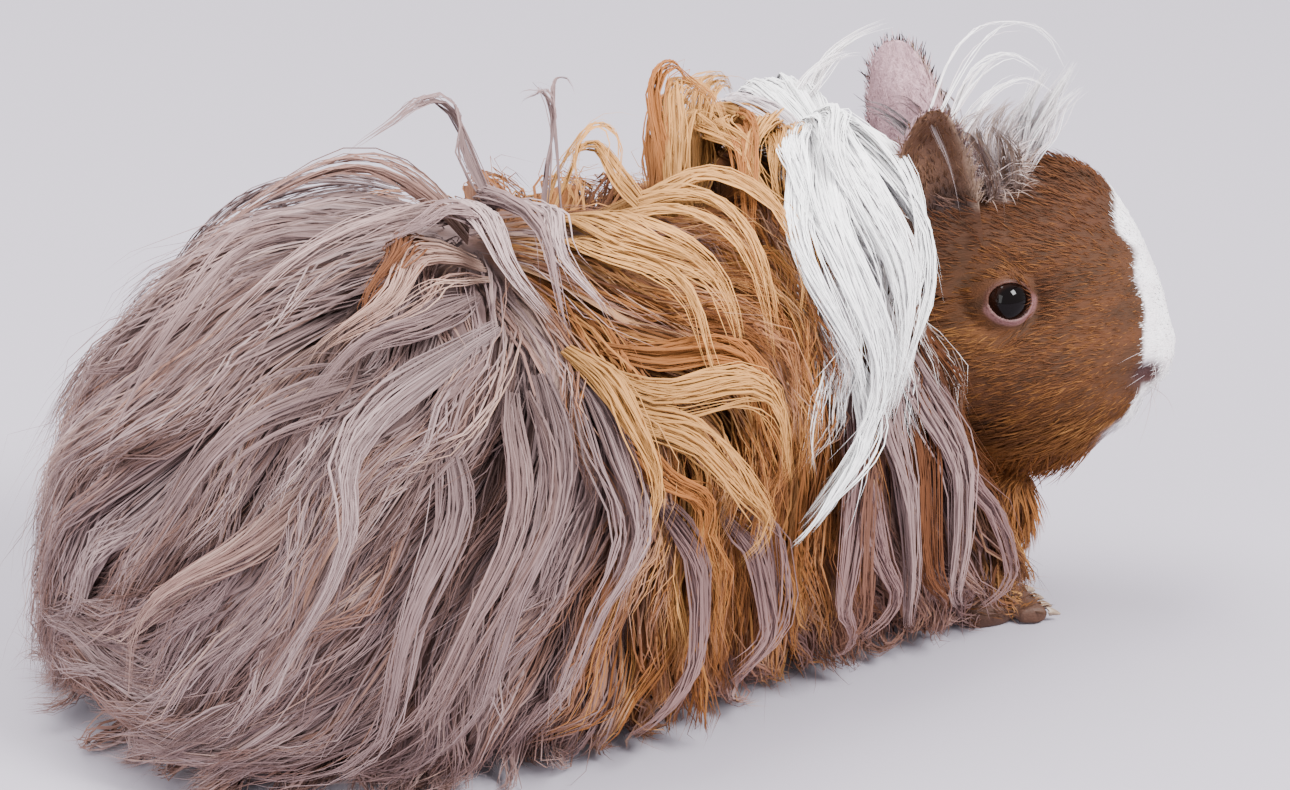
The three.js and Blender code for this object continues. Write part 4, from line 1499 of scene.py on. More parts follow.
@dataclass
class LongCoat:
    """The long coat of rump, saddle, collar and chest: combed locks and the hairs in them."""

    steps: int = 22  # places kept along each lock
    fine: int = 44  # steps in which each lock is traced
    spacing: float = 8.5  # least distance between roots
    floor_zone: float = 6.5  # lower than this, locks run out along the floor
    seed: int = 7
    comb: Comb = field(default_factory=Comb)

    def length(self, points: Array) -> Array:
        """The hair's length by where it is rooted."""
        x, drop = points[:, 0], TRUNK.drop(points)
        rump = 92 - 22 * ramp(drop, 60, 130)
        saddle = 60 - 12 * ramp(drop, 80, 130)
        front = 52 - 18 * ramp(drop, 70, 120) - 12 * ramp(x, 44, 70)
        length = saddle + (rump - saddle) * ramp(-x, 30, 60)
        return length + (front - length) * ramp(x, 6, 24)

    def root_places(self) -> Array:
        """Even, random roots over the outer form of the trunk."""
        random = np.random.default_rng(self.seed)
        x, angle = self.even_draw(random, 14000)
        candidates = TRUNK.surface(x, angle)
        keep = (TRUNK.drop(candidates) < 152) & (HEAD_SHAPE.outside(candidates) > 2)
        candidates = candidates[keep]
        chosen: list[Array] = []
        for point in candidates:
            if not chosen or np.min(((np.array(chosen) - point) ** 2).sum(1)) > self.spacing**2:
                chosen.append(point)
        return np.array(chosen)

    def even_draw(self, random: np.random.Generator, count: int) -> tuple[Array, Array]:
        """Random places on the trunk, as many on each patch as its area asks."""
        x = random.uniform(TRUNK.rear + 0.5, TRUNK.front - 2, count * 3)
        angle = random.uniform(0, TAU, count * 3)
        along = TRUNK.surface(x + 0.3, angle) - TRUNK.surface(x - 0.3, angle)
        around = TRUNK.surface(x, angle + 0.01) - TRUNK.surface(x, angle - 0.01)
        area = np.linalg.norm(np.cross(along, around), axis=1)
        area = np.minimum(area, np.quantile(area, 0.97))
        keep = random.random(count * 3) < area / area.max()
        return x[keep][:count], angle[keep][:count]

    def trace(self, roots: Array, lengths: Array) -> Locks:
        """Follows the comb from each root, over the form and out along the floor.

        Args:
            roots: places on the outer form.
            lengths: how long each lock is.

        Returns:
            The locks' paths on the surface.
        """
        random = np.random.default_rng(self.seed + 1)
        here, out = COAT_SHAPE.nearest(roots)
        paths, outs = [here], [out]
        way = flatten(self.comb.at(here), out)
        veer = random.normal(0, 0.07, len(roots))
        swirl = Drift(27, 30)
        step = (lengths / self.fine)[:, None]
        floor_run = random.uniform(1, 14, len(roots)) * (0.25 + 0.9 * ramp(-roots[:, 0], 10, 80))
        done = np.full(len(roots), self.fine, float)
        for i in range(self.fine):
            fresh = flatten(self.comb.at(here), out)
            way = flatten(0.6 * way + 0.4 * fresh, out)
            tangle = 0.30 * ramp(22 - here[:, 0], 0, 20) * swirl(here)
            turned = way + np.cross(out, way) * (veer + tangle)[:, None]
            ahead = here + flatten(turned, out) * step
            low = ahead[:, 2] < self.floor_zone
            nearest, normal = COAT_SHAPE.nearest(ahead)
            zero = 0 * here[:, 0]
            away = np.c_[here[:, :2] - np.c_[np.clip(here[:, 0], -100, 50), zero], zero]
            glide = unit(unit(away) + 0.9 * unit(np.c_[way[:, :2], zero]))
            glide[:, 2] = -0.35
            floor_run = floor_run - low * step[:, 0]
            done = np.where((floor_run < 0) & (done == self.fine), i + 1.0, done)
            free = here + glide * step
            here = np.where(low[:, None], free, nearest)
            here[:, 2] = np.maximum(here[:, 2], 2.0)
            out = np.where(low[:, None], unit(0.6 * out + np.array([0, 0, 0.5])), normal)
            paths.append(here)
            outs.append(out)
        at = np.linspace(0, 1, self.steps)[None] * done[:, None]
        rows = np.arange(len(roots))
        even, leaning = (between(np.stack(line, 1), at, rows) for line in (paths, outs))
        return Locks(even, unit(leaning), roots)

    def style(self, locks: Locks, depth: Array, wave: float, lift: float, seed: int) -> Locks:
        """Sinks the roots to the skin, and gives the locks waves and loose tips.

        Args:
            locks: paths on the surface.
            depth: how deep the skin lies at each root.
            wave: how far the locks wave from side to side.
            lift: how far the tips may stand off.
            seed: which draw this is.

        Returns:
            The styled locks.
        """
        random = np.random.default_rng(seed)
        n, steps, _ = locks.paths.shape
        share = np.linspace(0, 1, steps)[None]
        run = np.linalg.norm(np.diff(locks.paths, axis=1), axis=2)
        travelled = np.concatenate([np.zeros((n, 1)), np.cumsum(run, 1)], 1)
        ahead = unit(np.gradient(locks.paths, axis=1))
        side = unit(np.cross(ahead, locks.out))
        size = random.uniform(0.3, 1.0, (n, 1)) * wave * ramp(share, 0.1, 0.75)
        pitch = random.uniform(28, 58, (n, 1))
        start = random.uniform(0, TAU, (n, 1))
        sway = size * np.sin(travelled / pitch * TAU + start)
        sway += 0.35 * size * np.sin(travelled / pitch * TAU * 2.3 + start * 3)
        sway -= sway[:, :1]
        heave = 0.5 * size * np.sin(travelled / pitch * TAU * 1.4 + start * 2.1)
        height = -depth[:, None] * (1 - share) ** 2.0
        height = height + random.normal(-0.6, 1.7, (n, 1)) * ramp(share, 0.1, 0.6)
        loose = np.maximum(random.normal(0.1, 0.7, (n, 1)), -0.6)
        height = height + lift * loose * ramp(share, 0.45, 1.0) + heave - 0.6
        paths = locks.paths + side * sway[..., None] + locks.out * height[..., None]
        paths[..., 2] = np.maximum(paths[..., 2], 1.3)
        return Locks(paths, locks.out, locks.roots)

    def fill(self, locks: Locks, count: int, rings: int, seed: int) -> dict[str, Array]:
        """Grows single hairs among the locks, gathered towards their tips.

        Args:
            locks: the styled locks.
            count: how many hairs.
            rings: rings along each hair.
            seed: which draw this is.

        Returns:
            Paths, outward ways, roots and tones of the hairs.
        """
        random = np.random.default_rng(seed)
        x, angle = self.even_draw(random, int(count * 1.9))
        surface = TRUNK.surface(x, angle)
        drop = TRUNK.drop(surface)
        thin = 0.2 * (surface[:, 1] > 0) + 0.25 * ramp(drop, 105, 125)
        keep = (drop < 154) & (HEAD_SHAPE.outside(surface) > 1) & (random.random(len(drop)) > thin)
        surface = surface[keep][:count]
        apart = ((surface[:, None].astype(np.float32) - locks.roots[None].astype(np.float32)) ** 2).sum(2)
        order = np.argsort(apart, axis=1)[:, :3]
        distance = np.sqrt(np.take_along_axis(apart, order, 1))
        weight = 1 / (distance + 2) ** 2
        weight = weight / weight.sum(1, keepdims=True)
        nearest = order[:, 0]
        sorting = np.lexsort((random.random(len(surface)), nearest))
        surface, order, weight, nearest = (rows[sorting] for rows in (surface, order, weight, nearest))
        n = len(surface)
        long = random.uniform(0.68, 1.0, n)
        at = np.linspace(0, 1, rings)[None] * long[:, None] * (locks.paths.shape[1] - 1)
        grown = np.zeros((n, rings, 3))
        for k in range(3):
            lock = order[:, k]
            move = between(locks.paths, at, lock) - locks.roots[lock][:, None]
            grown += weight[:, k, None, None] * move
        own = surface[:, None] + grown
        leader = between(locks.paths, at, nearest)
        out = between(locks.out, at, nearest)
        share = np.linspace(0, 1, rings)[None, :, None]
        grip = random.uniform(0.3, 0.86, len(locks.roots))[nearest][:, None, None]
        apart_now = own - leader
        off = np.linalg.norm(apart_now, axis=2, keepdims=True)
        tight = grip * ramp(share, 0.1, 0.95)
        own = leader + apart_now * (1 - tight) / (1 + 0.02 * off)
        group = nearest * 64 + (random.random(n) * 6).astype(int)
        own, extra = self.gather(own, out, group, share, random)
        own += out * random.normal(0, 0.8, (n, 1, 1)) * ramp(share, 0, 0.3)
        wander = random.normal(0, 1, (n, 1, 3)) * np.sin(share * random.uniform(3, 8, (n, 1, 1)) + extra)
        own += wander * (0.3 + 0.75 * share**2) * random.uniform(0.4, 1.4, (n, 1, 1))
        loose = random.random(n) < 0.1
        stray = np.clip(random.normal(0, 1, (n, 1, 3)), -1.6, 1.6) * 3.5
        stray = stray + out * random.uniform(0, 5, (n, 1, 1))
        own += loose[:, None, None] * stray * share**1.6
        own[..., 2] = np.maximum(own[..., 2], 0.7)
        tone = random.normal(0, 0.36, len(locks.roots))[nearest] + random.normal(0, 0.2, n)
        return {"paths": own, "out": out, "roots": surface, "tone": tone, "loose": loose}

    @staticmethod
    def gather(
        own: Array, out: Array, group: Array, share: Array, random: np.random.Generator
    ) -> tuple[Array, Array]:
        """Draws the hairs of each small wisp together towards its tip, and sways each wisp."""
        names, member = np.unique(group, return_inverse=True)
        total = np.zeros((len(names), *own.shape[1:]))
        np.add.at(total, member, own)
        middle = total / np.bincount(member)[:, None, None]
        pull = 0.8 * ramp(share, 0.25, 0.95)
        own = own * (1 - pull) + middle[member] * pull
        side = unit(np.cross(np.gradient(own, axis=1), out))
        draws = random.uniform([0.3, 0.7, 0], [2.6, 1.9, TAU], (len(names), 3))
        size, turns, start = draws[member].T[..., None, None]
        wave = size * np.sin(share * turns * TAU + start) * ramp(share, 0.1, 0.7)
        lift = 0.6 * size * np.sin(share * turns * 5 + 2 * start) * ramp(share, 0.1, 0.7)
        phase = random.uniform(0, TAU, (len(own), 1, 1))
        return own + side * wave + out * lift, phase


@dataclass(frozen=True)
class Tress:
    """A lock that is placed over the coat, through listed places from its root to its tip.

    Places are (x, degrees round from the left side), so 90 is the spine and 180 the right side.
    """

    places: tuple[tuple[float, float], ...]
    rise: float = 4  # how far its middle is lifted, in millimetres
    tip: float = 2  # height of its tip over the trunk's form
    root: float = -7
    spread: float = 7  # width at the root
    hairs: int = 46
    tone: float = 0.3
    colour: Pelt | None = None  # or the coat's own colour at the root
    sway: float = 3.2

    def path(self, steps: int) -> tuple[Array, Array]:
        """The lock's path and the ways out of the coat along it."""
        s = np.linspace(0, 1, steps)
        x, angle = spline(self.places)(s).T
        angle = np.radians(angle)
        at = TRUNK.surface(x, angle)
        along = TRUNK.surface(x + 0.5, angle) - TRUNK.surface(x - 0.5, angle)
        around = TRUNK.surface(x, angle + 0.02) - TRUNK.surface(x, angle - 0.02)
        out = unit(np.cross(around, along))
        height = self.root + (self.tip - self.root) * ramp(s, 0, 0.55) + self.rise * np.sin(np.pi * s)
        at = at + out * height[:, None]
        at[:, 2] = np.maximum(at[:, 2], 1.6)
        return at, out


def fill_tress(
    path: Array, out: Array, spread: float, count: int, rings: int, random: np.random.Generator,
    open_tip: float = 0.22, sway: float = 0.0,
) -> tuple[Array, Array]:
    """Fills one tress or wisp with its own hairs.

    Args:
        path: its middle line.
        out: the ways out of the coat along it.
        spread: its width at the root.
        count: how many hairs.
        rings: rings along each hair.
        random: the draw.
        open_tip: its width at the tip, as a share of that at the root.
        sway: how far its middle line may wave to either side.

    Returns:
        Hair paths and outward ways.
    """
    steps = len(path)
    ahead = unit(np.gradient(path, axis=0))
    side = unit(np.cross(ahead, out))
    s = np.linspace(0, 1, steps)
    bend = random.uniform(0.4, 1) * sway * np.sin(s * random.uniform(6, 11) + random.uniform(0, TAU))
    path = path + side * (bend * ramp(s, 0, 0.4))[:, None]
    long = random.uniform(0.6, 1.0, count)
    at = np.linspace(0, 1, rings)[None] * long[:, None] * (steps - 1)
    middle, sideways, outward = (between(line[None], at, np.zeros(count, int)) for line in (path, side, out))
    share = np.linspace(0, 1, rings)[None, :]
    swell = 0.45 + 0.55 * ramp(share, 0, 0.35)
    narrowing = swell * (1 - (1 - open_tip) * ramp(share, 0.3, 1.0))
    bunches = max(count // 7, 1)
    bunch = random.integers(0, bunches, count)
    centre = random.normal(0, [0.38, 0.2], (bunches, 2))[bunch] * spread
    bundled = 1 - 0.75 * ramp(share, 0.2, 0.9)
    across = (centre[:, :1] + random.normal(0, 0.13, (count, 1)) * spread * bundled) * narrowing
    deep = (centre[:, 1:] + random.normal(0, 0.09, (count, 1)) * spread * bundled) * narrowing
    size, turns, start = random.uniform([0.2, 2, 0], [1.5, 8, TAU], (bunches, 3))[bunch].T[..., None]
    across = across + size * np.sin(share * turns + start) * ramp(share, 0, 0.5)
    deep = deep + 0.7 * size * np.sin(share * turns * 1.3 + start * 2) * ramp(share, 0, 0.5)
    turn = random.uniform(0, TAU, (count, 1))
    across = across + 0.25 * np.sin(share * random.uniform(3, 9, (count, 1)) + turn)
    hair = middle + sideways * across[..., None] + outward * deep[..., None]
    stray = (random.random((count, 1)) < 0.06) * random.normal(0, 3.5, (count, 1)) * share**2
    hair = hair + sideways * stray[..., None]
    hair[..., 2] = np.maximum(hair[..., 2], 0.8)
    return hair, outward


TRESSES = [
    # rump
    Tress(((-62, 128), (-84, 138), (-103, 147), (-107, 160), (-118, 180), (-142, 206)), hairs=60),
    Tress(((-54, 138), (-57, 160), (-76, 185), (-101, 207)), tone=0.2),
    Tress(((-46, 140), (-43, 160), (-53, 178), (-70, 200)), tone=0.1),
    Tress(((-62, 141), (-67, 157), (-84, 180), (-110, 203)), tone=0.4),
    Tress(((-79, 147), (-83, 165), (-100, 187), (-130, 209)), tone=0.1),
    Tress(((-108, 148), (-126, 156), (-142, 170), (-150, 188)), tip=0, tone=0.0),
    Tress(((-66, 120), (-80, 127), (-96, 128), (-112, 138)), spread=8, hairs=66, tone=0.35),
    Tress(((-60, 113), (-76, 117), (-90, 124), (-106, 130)), spread=8, hairs=60, tone=0.25),
    Tress(((-60, 96), (-78, 108), (-104, 112), (-128, 118)), rise=6, tip=4, spread=9),
    Tress(((-83, 96), (-104, 98), (-126, 106), (-146, 122)), rise=5, tip=3, spread=9, tone=0.5),
    Tress(((-60, 104), (-76, 100), (-96, 96), (-120, 94)), rise=7, tip=7, spread=8, tone=0.2),
    Tress(((-92, 132), (-112, 134), (-132, 142), (-148, 158)), tip=1, spread=8, tone=0.15),
    Tress(((-50, 96), (-58, 90), (-70, 92), (-82, 88)), rise=12, tip=6, spread=6, hairs=34,
          colour=Pelt.LILAC),
    Tress(((-38, 98), (-41, 96), (-46, 96), (-44, 92)), rise=8, tip=17, root=-9, spread=4.5, hairs=22, tone=0,
          colour=Pelt.LILAC),
    Tress(((-34, 100), (-40, 97), (-39, 94), (-36, 93)), rise=7, tip=21, root=-9, spread=3, hairs=12,
          tone=0.2, colour=Pelt.LILAC),
    Tress(((-36, 94), (-33, 93), (-26, 96), (-25, 104)), rise=14, tip=3, root=-9, spread=3, hairs=14,
          tone=0.6, colour=Pelt.BUFF),
    Tress(((-44, 92), (-47, 106), (-45, 120), (-42, 132)), hairs=54, colour=Pelt.LILAC_LIGHT),
    Tress(((-50, 90), (-54, 104), (-52, 120), (-47, 134)), hairs=54, colour=Pelt.LILAC),
    Tress(((-56, 92), (-62, 106), (-60, 120), (-53, 132)), hairs=54, colour=Pelt.LILAC_LIGHT),
    Tress(((-52, 100), (-64, 110), (-74, 114), (-88, 112)), rise=6, tip=4, hairs=50, colour=Pelt.LILAC),
    Tress(((-72, 104), (-80, 112), (-87, 119), (-91, 127)), rise=3, tip=3, spread=8, hairs=70,
          colour=Pelt.THROAT),
    # saddle
    Tress(((-11, 94), (-9, 92), (-1, 89), (6, 89), (6, 97)), rise=19, tip=5, root=-9, spread=4.5, tone=0,
          colour=Pelt.GINGER),
    Tress(((-9, 96), (-7, 94), (0, 91), (7, 91), (8, 100)), rise=16, tip=4, root=-9, spread=4, hairs=40,
          tone=0.2, colour=Pelt.BUFF),
    Tress(((-6, 98), (-4, 96), (1, 93), (4, 94), (4, 104)), rise=10, tip=3, root=-9, spread=4, hairs=30,
          tone=0.2, colour=Pelt.BUFF),
    Tress(((-14, 102), (-22, 96), (-31, 94), (-34, 102)), rise=9, spread=6, colour=Pelt.BUFF),
    Tress(((-32, 94), (-26, 112), (-14, 128), (-8, 146)), rise=5, spread=8, hairs=60, colour=Pelt.BUFF),
    Tress(((-27, 95), (-13, 106), (-2, 126), (0, 150)), rise=5, spread=8, hairs=50, colour=Pelt.BUFF),
    Tress(((-22, 93), (-3, 101), (6, 119), (6, 142)), rise=5, tone=0.1, colour=Pelt.BUFF),
    Tress(((-36, 104), (-33, 118), (-20, 134), (-14, 150)), spread=6, tone=0.1, colour=Pelt.BUFF),
    Tress(((-47, 133), (-42, 143), (-38.5, 155), (-40, 166), (-49, 181)), spread=5, hairs=60,
          colour=Pelt.BUFF),
    Tress(((-44, 136), (-33, 145), (-16, 148), (-6, 154), (-1.5, 162), (-1, 171)), rise=3.5, tip=2.5,
          spread=5, hairs=90, tone=0.2, colour=Pelt.BUFF),
    Tress(((-42, 142), (-34, 151), (-24, 157), (-14, 166), (-10, 174), (-17, 180)), rise=3.5, tip=2.5,
          spread=6.5, hairs=120, tone=0.2, colour=Pelt.BUFF),
    Tress(((-38, 133), (-24, 139), (-10, 146), (-3, 156), (-4, 166)), rise=3, spread=5, hairs=60, tone=0.1,
          colour=Pelt.GINGER),
    Tress(((-42, 150), (-34, 159), (-26, 168), (-24, 177)), rise=2, spread=5, hairs=50, tone=0.0,
          colour=Pelt.GINGER),
    Tress(((-30, 166), (-28, 178), (-36, 196), (-44, 212)), hairs=50, tone=0.6, colour=Pelt.CHEST),
    Tress(((-12, 172), (-8, 186), (-16, 204)), rise=3, tone=0.4, colour=Pelt.CHEST),
    # gold and white between saddle and collar
    Tress(((17, 82), (15, 94), (11, 108), (9, 124)), spread=6, hairs=70, colour=Pelt.BUFF),
    Tress(((20, 84), (18, 96), (15, 108), (12, 122)), rise=2, tip=1, hairs=70, colour=Pelt.BUFF),
    Tress(((14, 70), (11, 90), (5, 106), (2, 124)), rise=5, spread=8, hairs=80, colour=Pelt.GINGER),
    Tress(((-4, 94), (4, 88), (12, 80), (20, 72)), rise=8, tip=5, spread=9, hairs=90, colour=Pelt.BUFF),
    Tress(((-8, 84), (0, 78), (8, 70), (14, 58)), rise=7, tip=4, spread=9, hairs=80, colour=Pelt.GINGER),
    Tress(((4, 78), (8, 88), (8, 100), (4, 112)), rise=6, spread=9, hairs=80, colour=Pelt.BUFF),
    Tress(((19, 98), (16, 80), (13, 56), (12, 26)), rise=3, tip=1, spread=6, hairs=70, colour=Pelt.BUFF),
    Tress(((22, 98), (20, 78), (18, 52), (17, 24)), rise=3, tip=1, spread=6, hairs=80,
          colour=Pelt.WHITE_SHADE),
    # chest, right side
    Tress(((35, 150), (30, 170), (33, 190), (39, 208)), rise=3, hairs=60, colour=Pelt.CHEST_LIGHT, sway=4.5),
    Tress(((40, 150), (42, 168), (49, 186), (50, 206)), rise=3, hairs=60, colour=Pelt.CHEST_LIGHT, sway=4.5),
    Tress(((26, 160), (17, 178), (16, 194), (11, 208)), rise=3, hairs=50, colour=Pelt.CHEST, sway=4.5),
    Tress(((30, 158), (24, 178), (27, 192), (22, 208)), rise=3, hairs=56, colour=Pelt.CHEST, sway=4.5),
    Tress(((46, 150), (52, 168), (60, 186), (60, 206)), rise=3, hairs=50, colour=Pelt.CHEST, sway=4.5),
    Tress(((36, 156), (36, 174), (42, 192), (45, 208)), rise=3, hairs=50, colour=Pelt.THROAT, sway=4.5),
    Tress(((22, 164), (20, 184), (14, 204)), rise=2, colour=Pelt.UNDER, sway=4),
    # left side
    Tress(((40, 30), (41, 8), (36, -32)), rise=3, colour=Pelt.CHEST_LIGHT),
    Tress(((54, 26), (57, 4), (56, -32)), rise=3, colour=Pelt.CHEST),
    Tress(((-38, 40), (-18, 34), (-12, 18), (-22, 2)), rise=5, colour=Pelt.BUFF),
    Tress(((-60, 60), (-84, 44), (-112, 22), (-140, -6)), rise=5, spread=8),
]

# The collar's white tresses, from far side to near side over the spine, and down the left side.
COLLAR_PLACES = [
    ((25, 80), (21, 97), (17, 113), (12, 128), (13, 142), (18, 156), (20, 163)),
    ((28, 78), (25, 95), (21, 113), (17, 128), (18, 142), (23, 155), (22, 165), (12, 173), (1, 178)),
    ((30, 80), (27, 97), (24, 113), (21, 128), (23, 143), (26, 156), (22, 167), (9, 174.5)),
    ((33, 78), (31, 95), (28, 113), (27, 128), (31, 143), (31, 157), (25, 171)),
    ((35, 80), (33, 97), (30, 112), (30, 128), (34, 143), (33, 156), (29, 166)),
    ((38, 80), (37, 97), (36, 113), (38, 128), (38, 142), (35, 152)),
    ((36, 96), (35, 106), (37, 120), (40, 132), (39, 146), (33, 158), (27, 168)),
    ((26, 157), (22, 167), (10, 175), (-2, 180)),
    ((24, 86), (21, 100), (17, 112), (15, 124), (20, 138)),
    ((31, 84), (29, 98), (26, 112), (25, 124), (26, 136)),
    ((31, 98), (31, 74), (32, 48), (26, 12)),
    ((26, 98), (26, 74), (25, 46), (22, 14)),
]
TRESSES += [
    Tress(places, rise=3.5, tip=2.5, spread=5, hairs=92, colour=Pelt.WHITE, sway=1.6)
    for places in COLLAR_PLACES
]


@dataclass(frozen=True)
class Wisp:
    """A wisp that springs from the crown, through places in the head's frame."""

    places: tuple[tuple[float, float, float], ...]
    hairs: int = 26
    spread: float = 4.5
    open_tip: float = 0.5
    colours: tuple[Pelt, Pelt] = (Pelt.WHITE, Pelt.WHITE_SHADE)

    def path(self, steps: int) -> tuple[Array, Array]:
        """The wisp's path and a way across it."""
        at = HEAD.out(spline(self.places)(np.linspace(0, 1, steps)))
        along = unit(at[-1] - at[0])
        return at, np.repeat(unit(np.cross(along, [0.3, 1, 0.2]))[None], steps, 0)


SILVER = (Pelt.WHITE_SHADE, Pelt.WHITE)
GREY = (Pelt.CROWN_GREY, Pelt.WHITE_SHADE)
BEIGE = (Pelt.EAR_RIM, Pelt.CROWN_GREY)
WISPS = [
    # loops
    Wisp(((4, 3, 106), (9, 5, 122), (15, 6, 136), (26, 6, 143.5), (37, 5, 140), (43.5, 4, 131)), 8, 2, 0.6),
    Wisp(((6, 2, 106), (11, 4, 121), (19, 5, 134), (29, 5, 141), (38, 5, 138), (44, 3, 129)), 5, 2.5, 0.9),
    Wisp(((8, 0, 106), (14, 1, 121), (20, 2, 132), (28, 2, 135.5), (37, 1, 129)), 24, 2.6, 0.7),
    Wisp(((10, -2, 106), (16, 0, 118), (23, 0, 128), (31, 0, 131), (39, 1, 125)), 14, 3, 0.8),
    # tuft over the brow
    Wisp(((32, 1, 107), (34, 1, 117), (38, 1, 126), (43, 1, 134)), 150, 5, 0.3),
    Wisp(((28, 3, 107), (30, 2, 117), (33, 2, 126), (37, 2, 132)), 90, 6, 0.3),
    Wisp(((31, -2, 108), (34, -2, 116), (39, -2, 123), (45, -1, 128)), 50, 6, 0.4, SILVER),
    # the mass between the ears
    Wisp(((24, -3, 107), (24, -3, 116), (27, -3, 123), (31, -3, 126)), 50, 9, 0.5, GREY),
    Wisp(((17, -4, 106), (17, -4, 116), (20, -5, 123), (24, -5, 126)), 44, 8, 0.5, GREY),
    Wisp(((28, -7, 105), (27, -8, 112), (25, -9, 119), (20, -10, 123)), 60, 8, 0.6, BEIGE),
    Wisp(((22, -8, 104), (20, -9, 112), (16, -11, 119), (10, -13, 121)), 56, 8, 0.6, BEIGE),
    Wisp(((24, 7, 105), (24, 8, 114), (27, 10, 120), (30, 12, 121)), 34, 8, 0.6, BEIGE),
    Wisp(((10, 4, 105), (5, 7, 114), (-2, 10, 120), (-8, 12, 121)), 30, 6, 0.6),
    Wisp(((12, 10, 104), (8, 13, 113), (2, 15, 118), (-4, 16, 118)), 20, 6, 0.6, GREY),
    # light hairs over the near ear
    Wisp(((22, -8, 106), (15, -22, 124), (19, -29, 117), (20, -30, 103)), 9, 4, 1.8, BEIGE),
    Wisp(((20, -9, 106), (8, -20, 126), (11, -29, 121), (14, -32, 108)), 8, 4, 2.0, GREY),
    Wisp(((22, 8, 106), (15, 22, 124), (19, 29, 117), (20, 30, 103)), 9, 3, 1.6, GREY),
    # the strand between collar and far ear
    Wisp(((-22, 6, 118), (-16, 9, 131), (-8, 11, 138), (0, 11, 142)), 30, 4, 0.6),
    Wisp(((-26, 4, 118), (-19, 7, 129), (-12, 9, 134), (-6, 9, 135)), 24, 4, 0.8),
]


EVERYWHERE = 1e-12  # a least weight, so that every place on the skin has one

# The coat's pieces, each with its slot.
PIECES = {
    **{f"rump_{side}_{part}": "lilac_coat" for side, _ in SIDES for part in ("rear", "fore", "low")},
    **{f"saddle_{side}": "ginger_coat" for side, _ in SIDES},
    "collar": "white_coat",
    "chest": "ginger_coat",
    **{f"head_{side}": "face_fur" for side, _ in SIDES},
    "crest": "white_coat",
    "throat": "face_fur",
    "feet": "paw_skin",
    "under_locks": "lilac_coat",
}


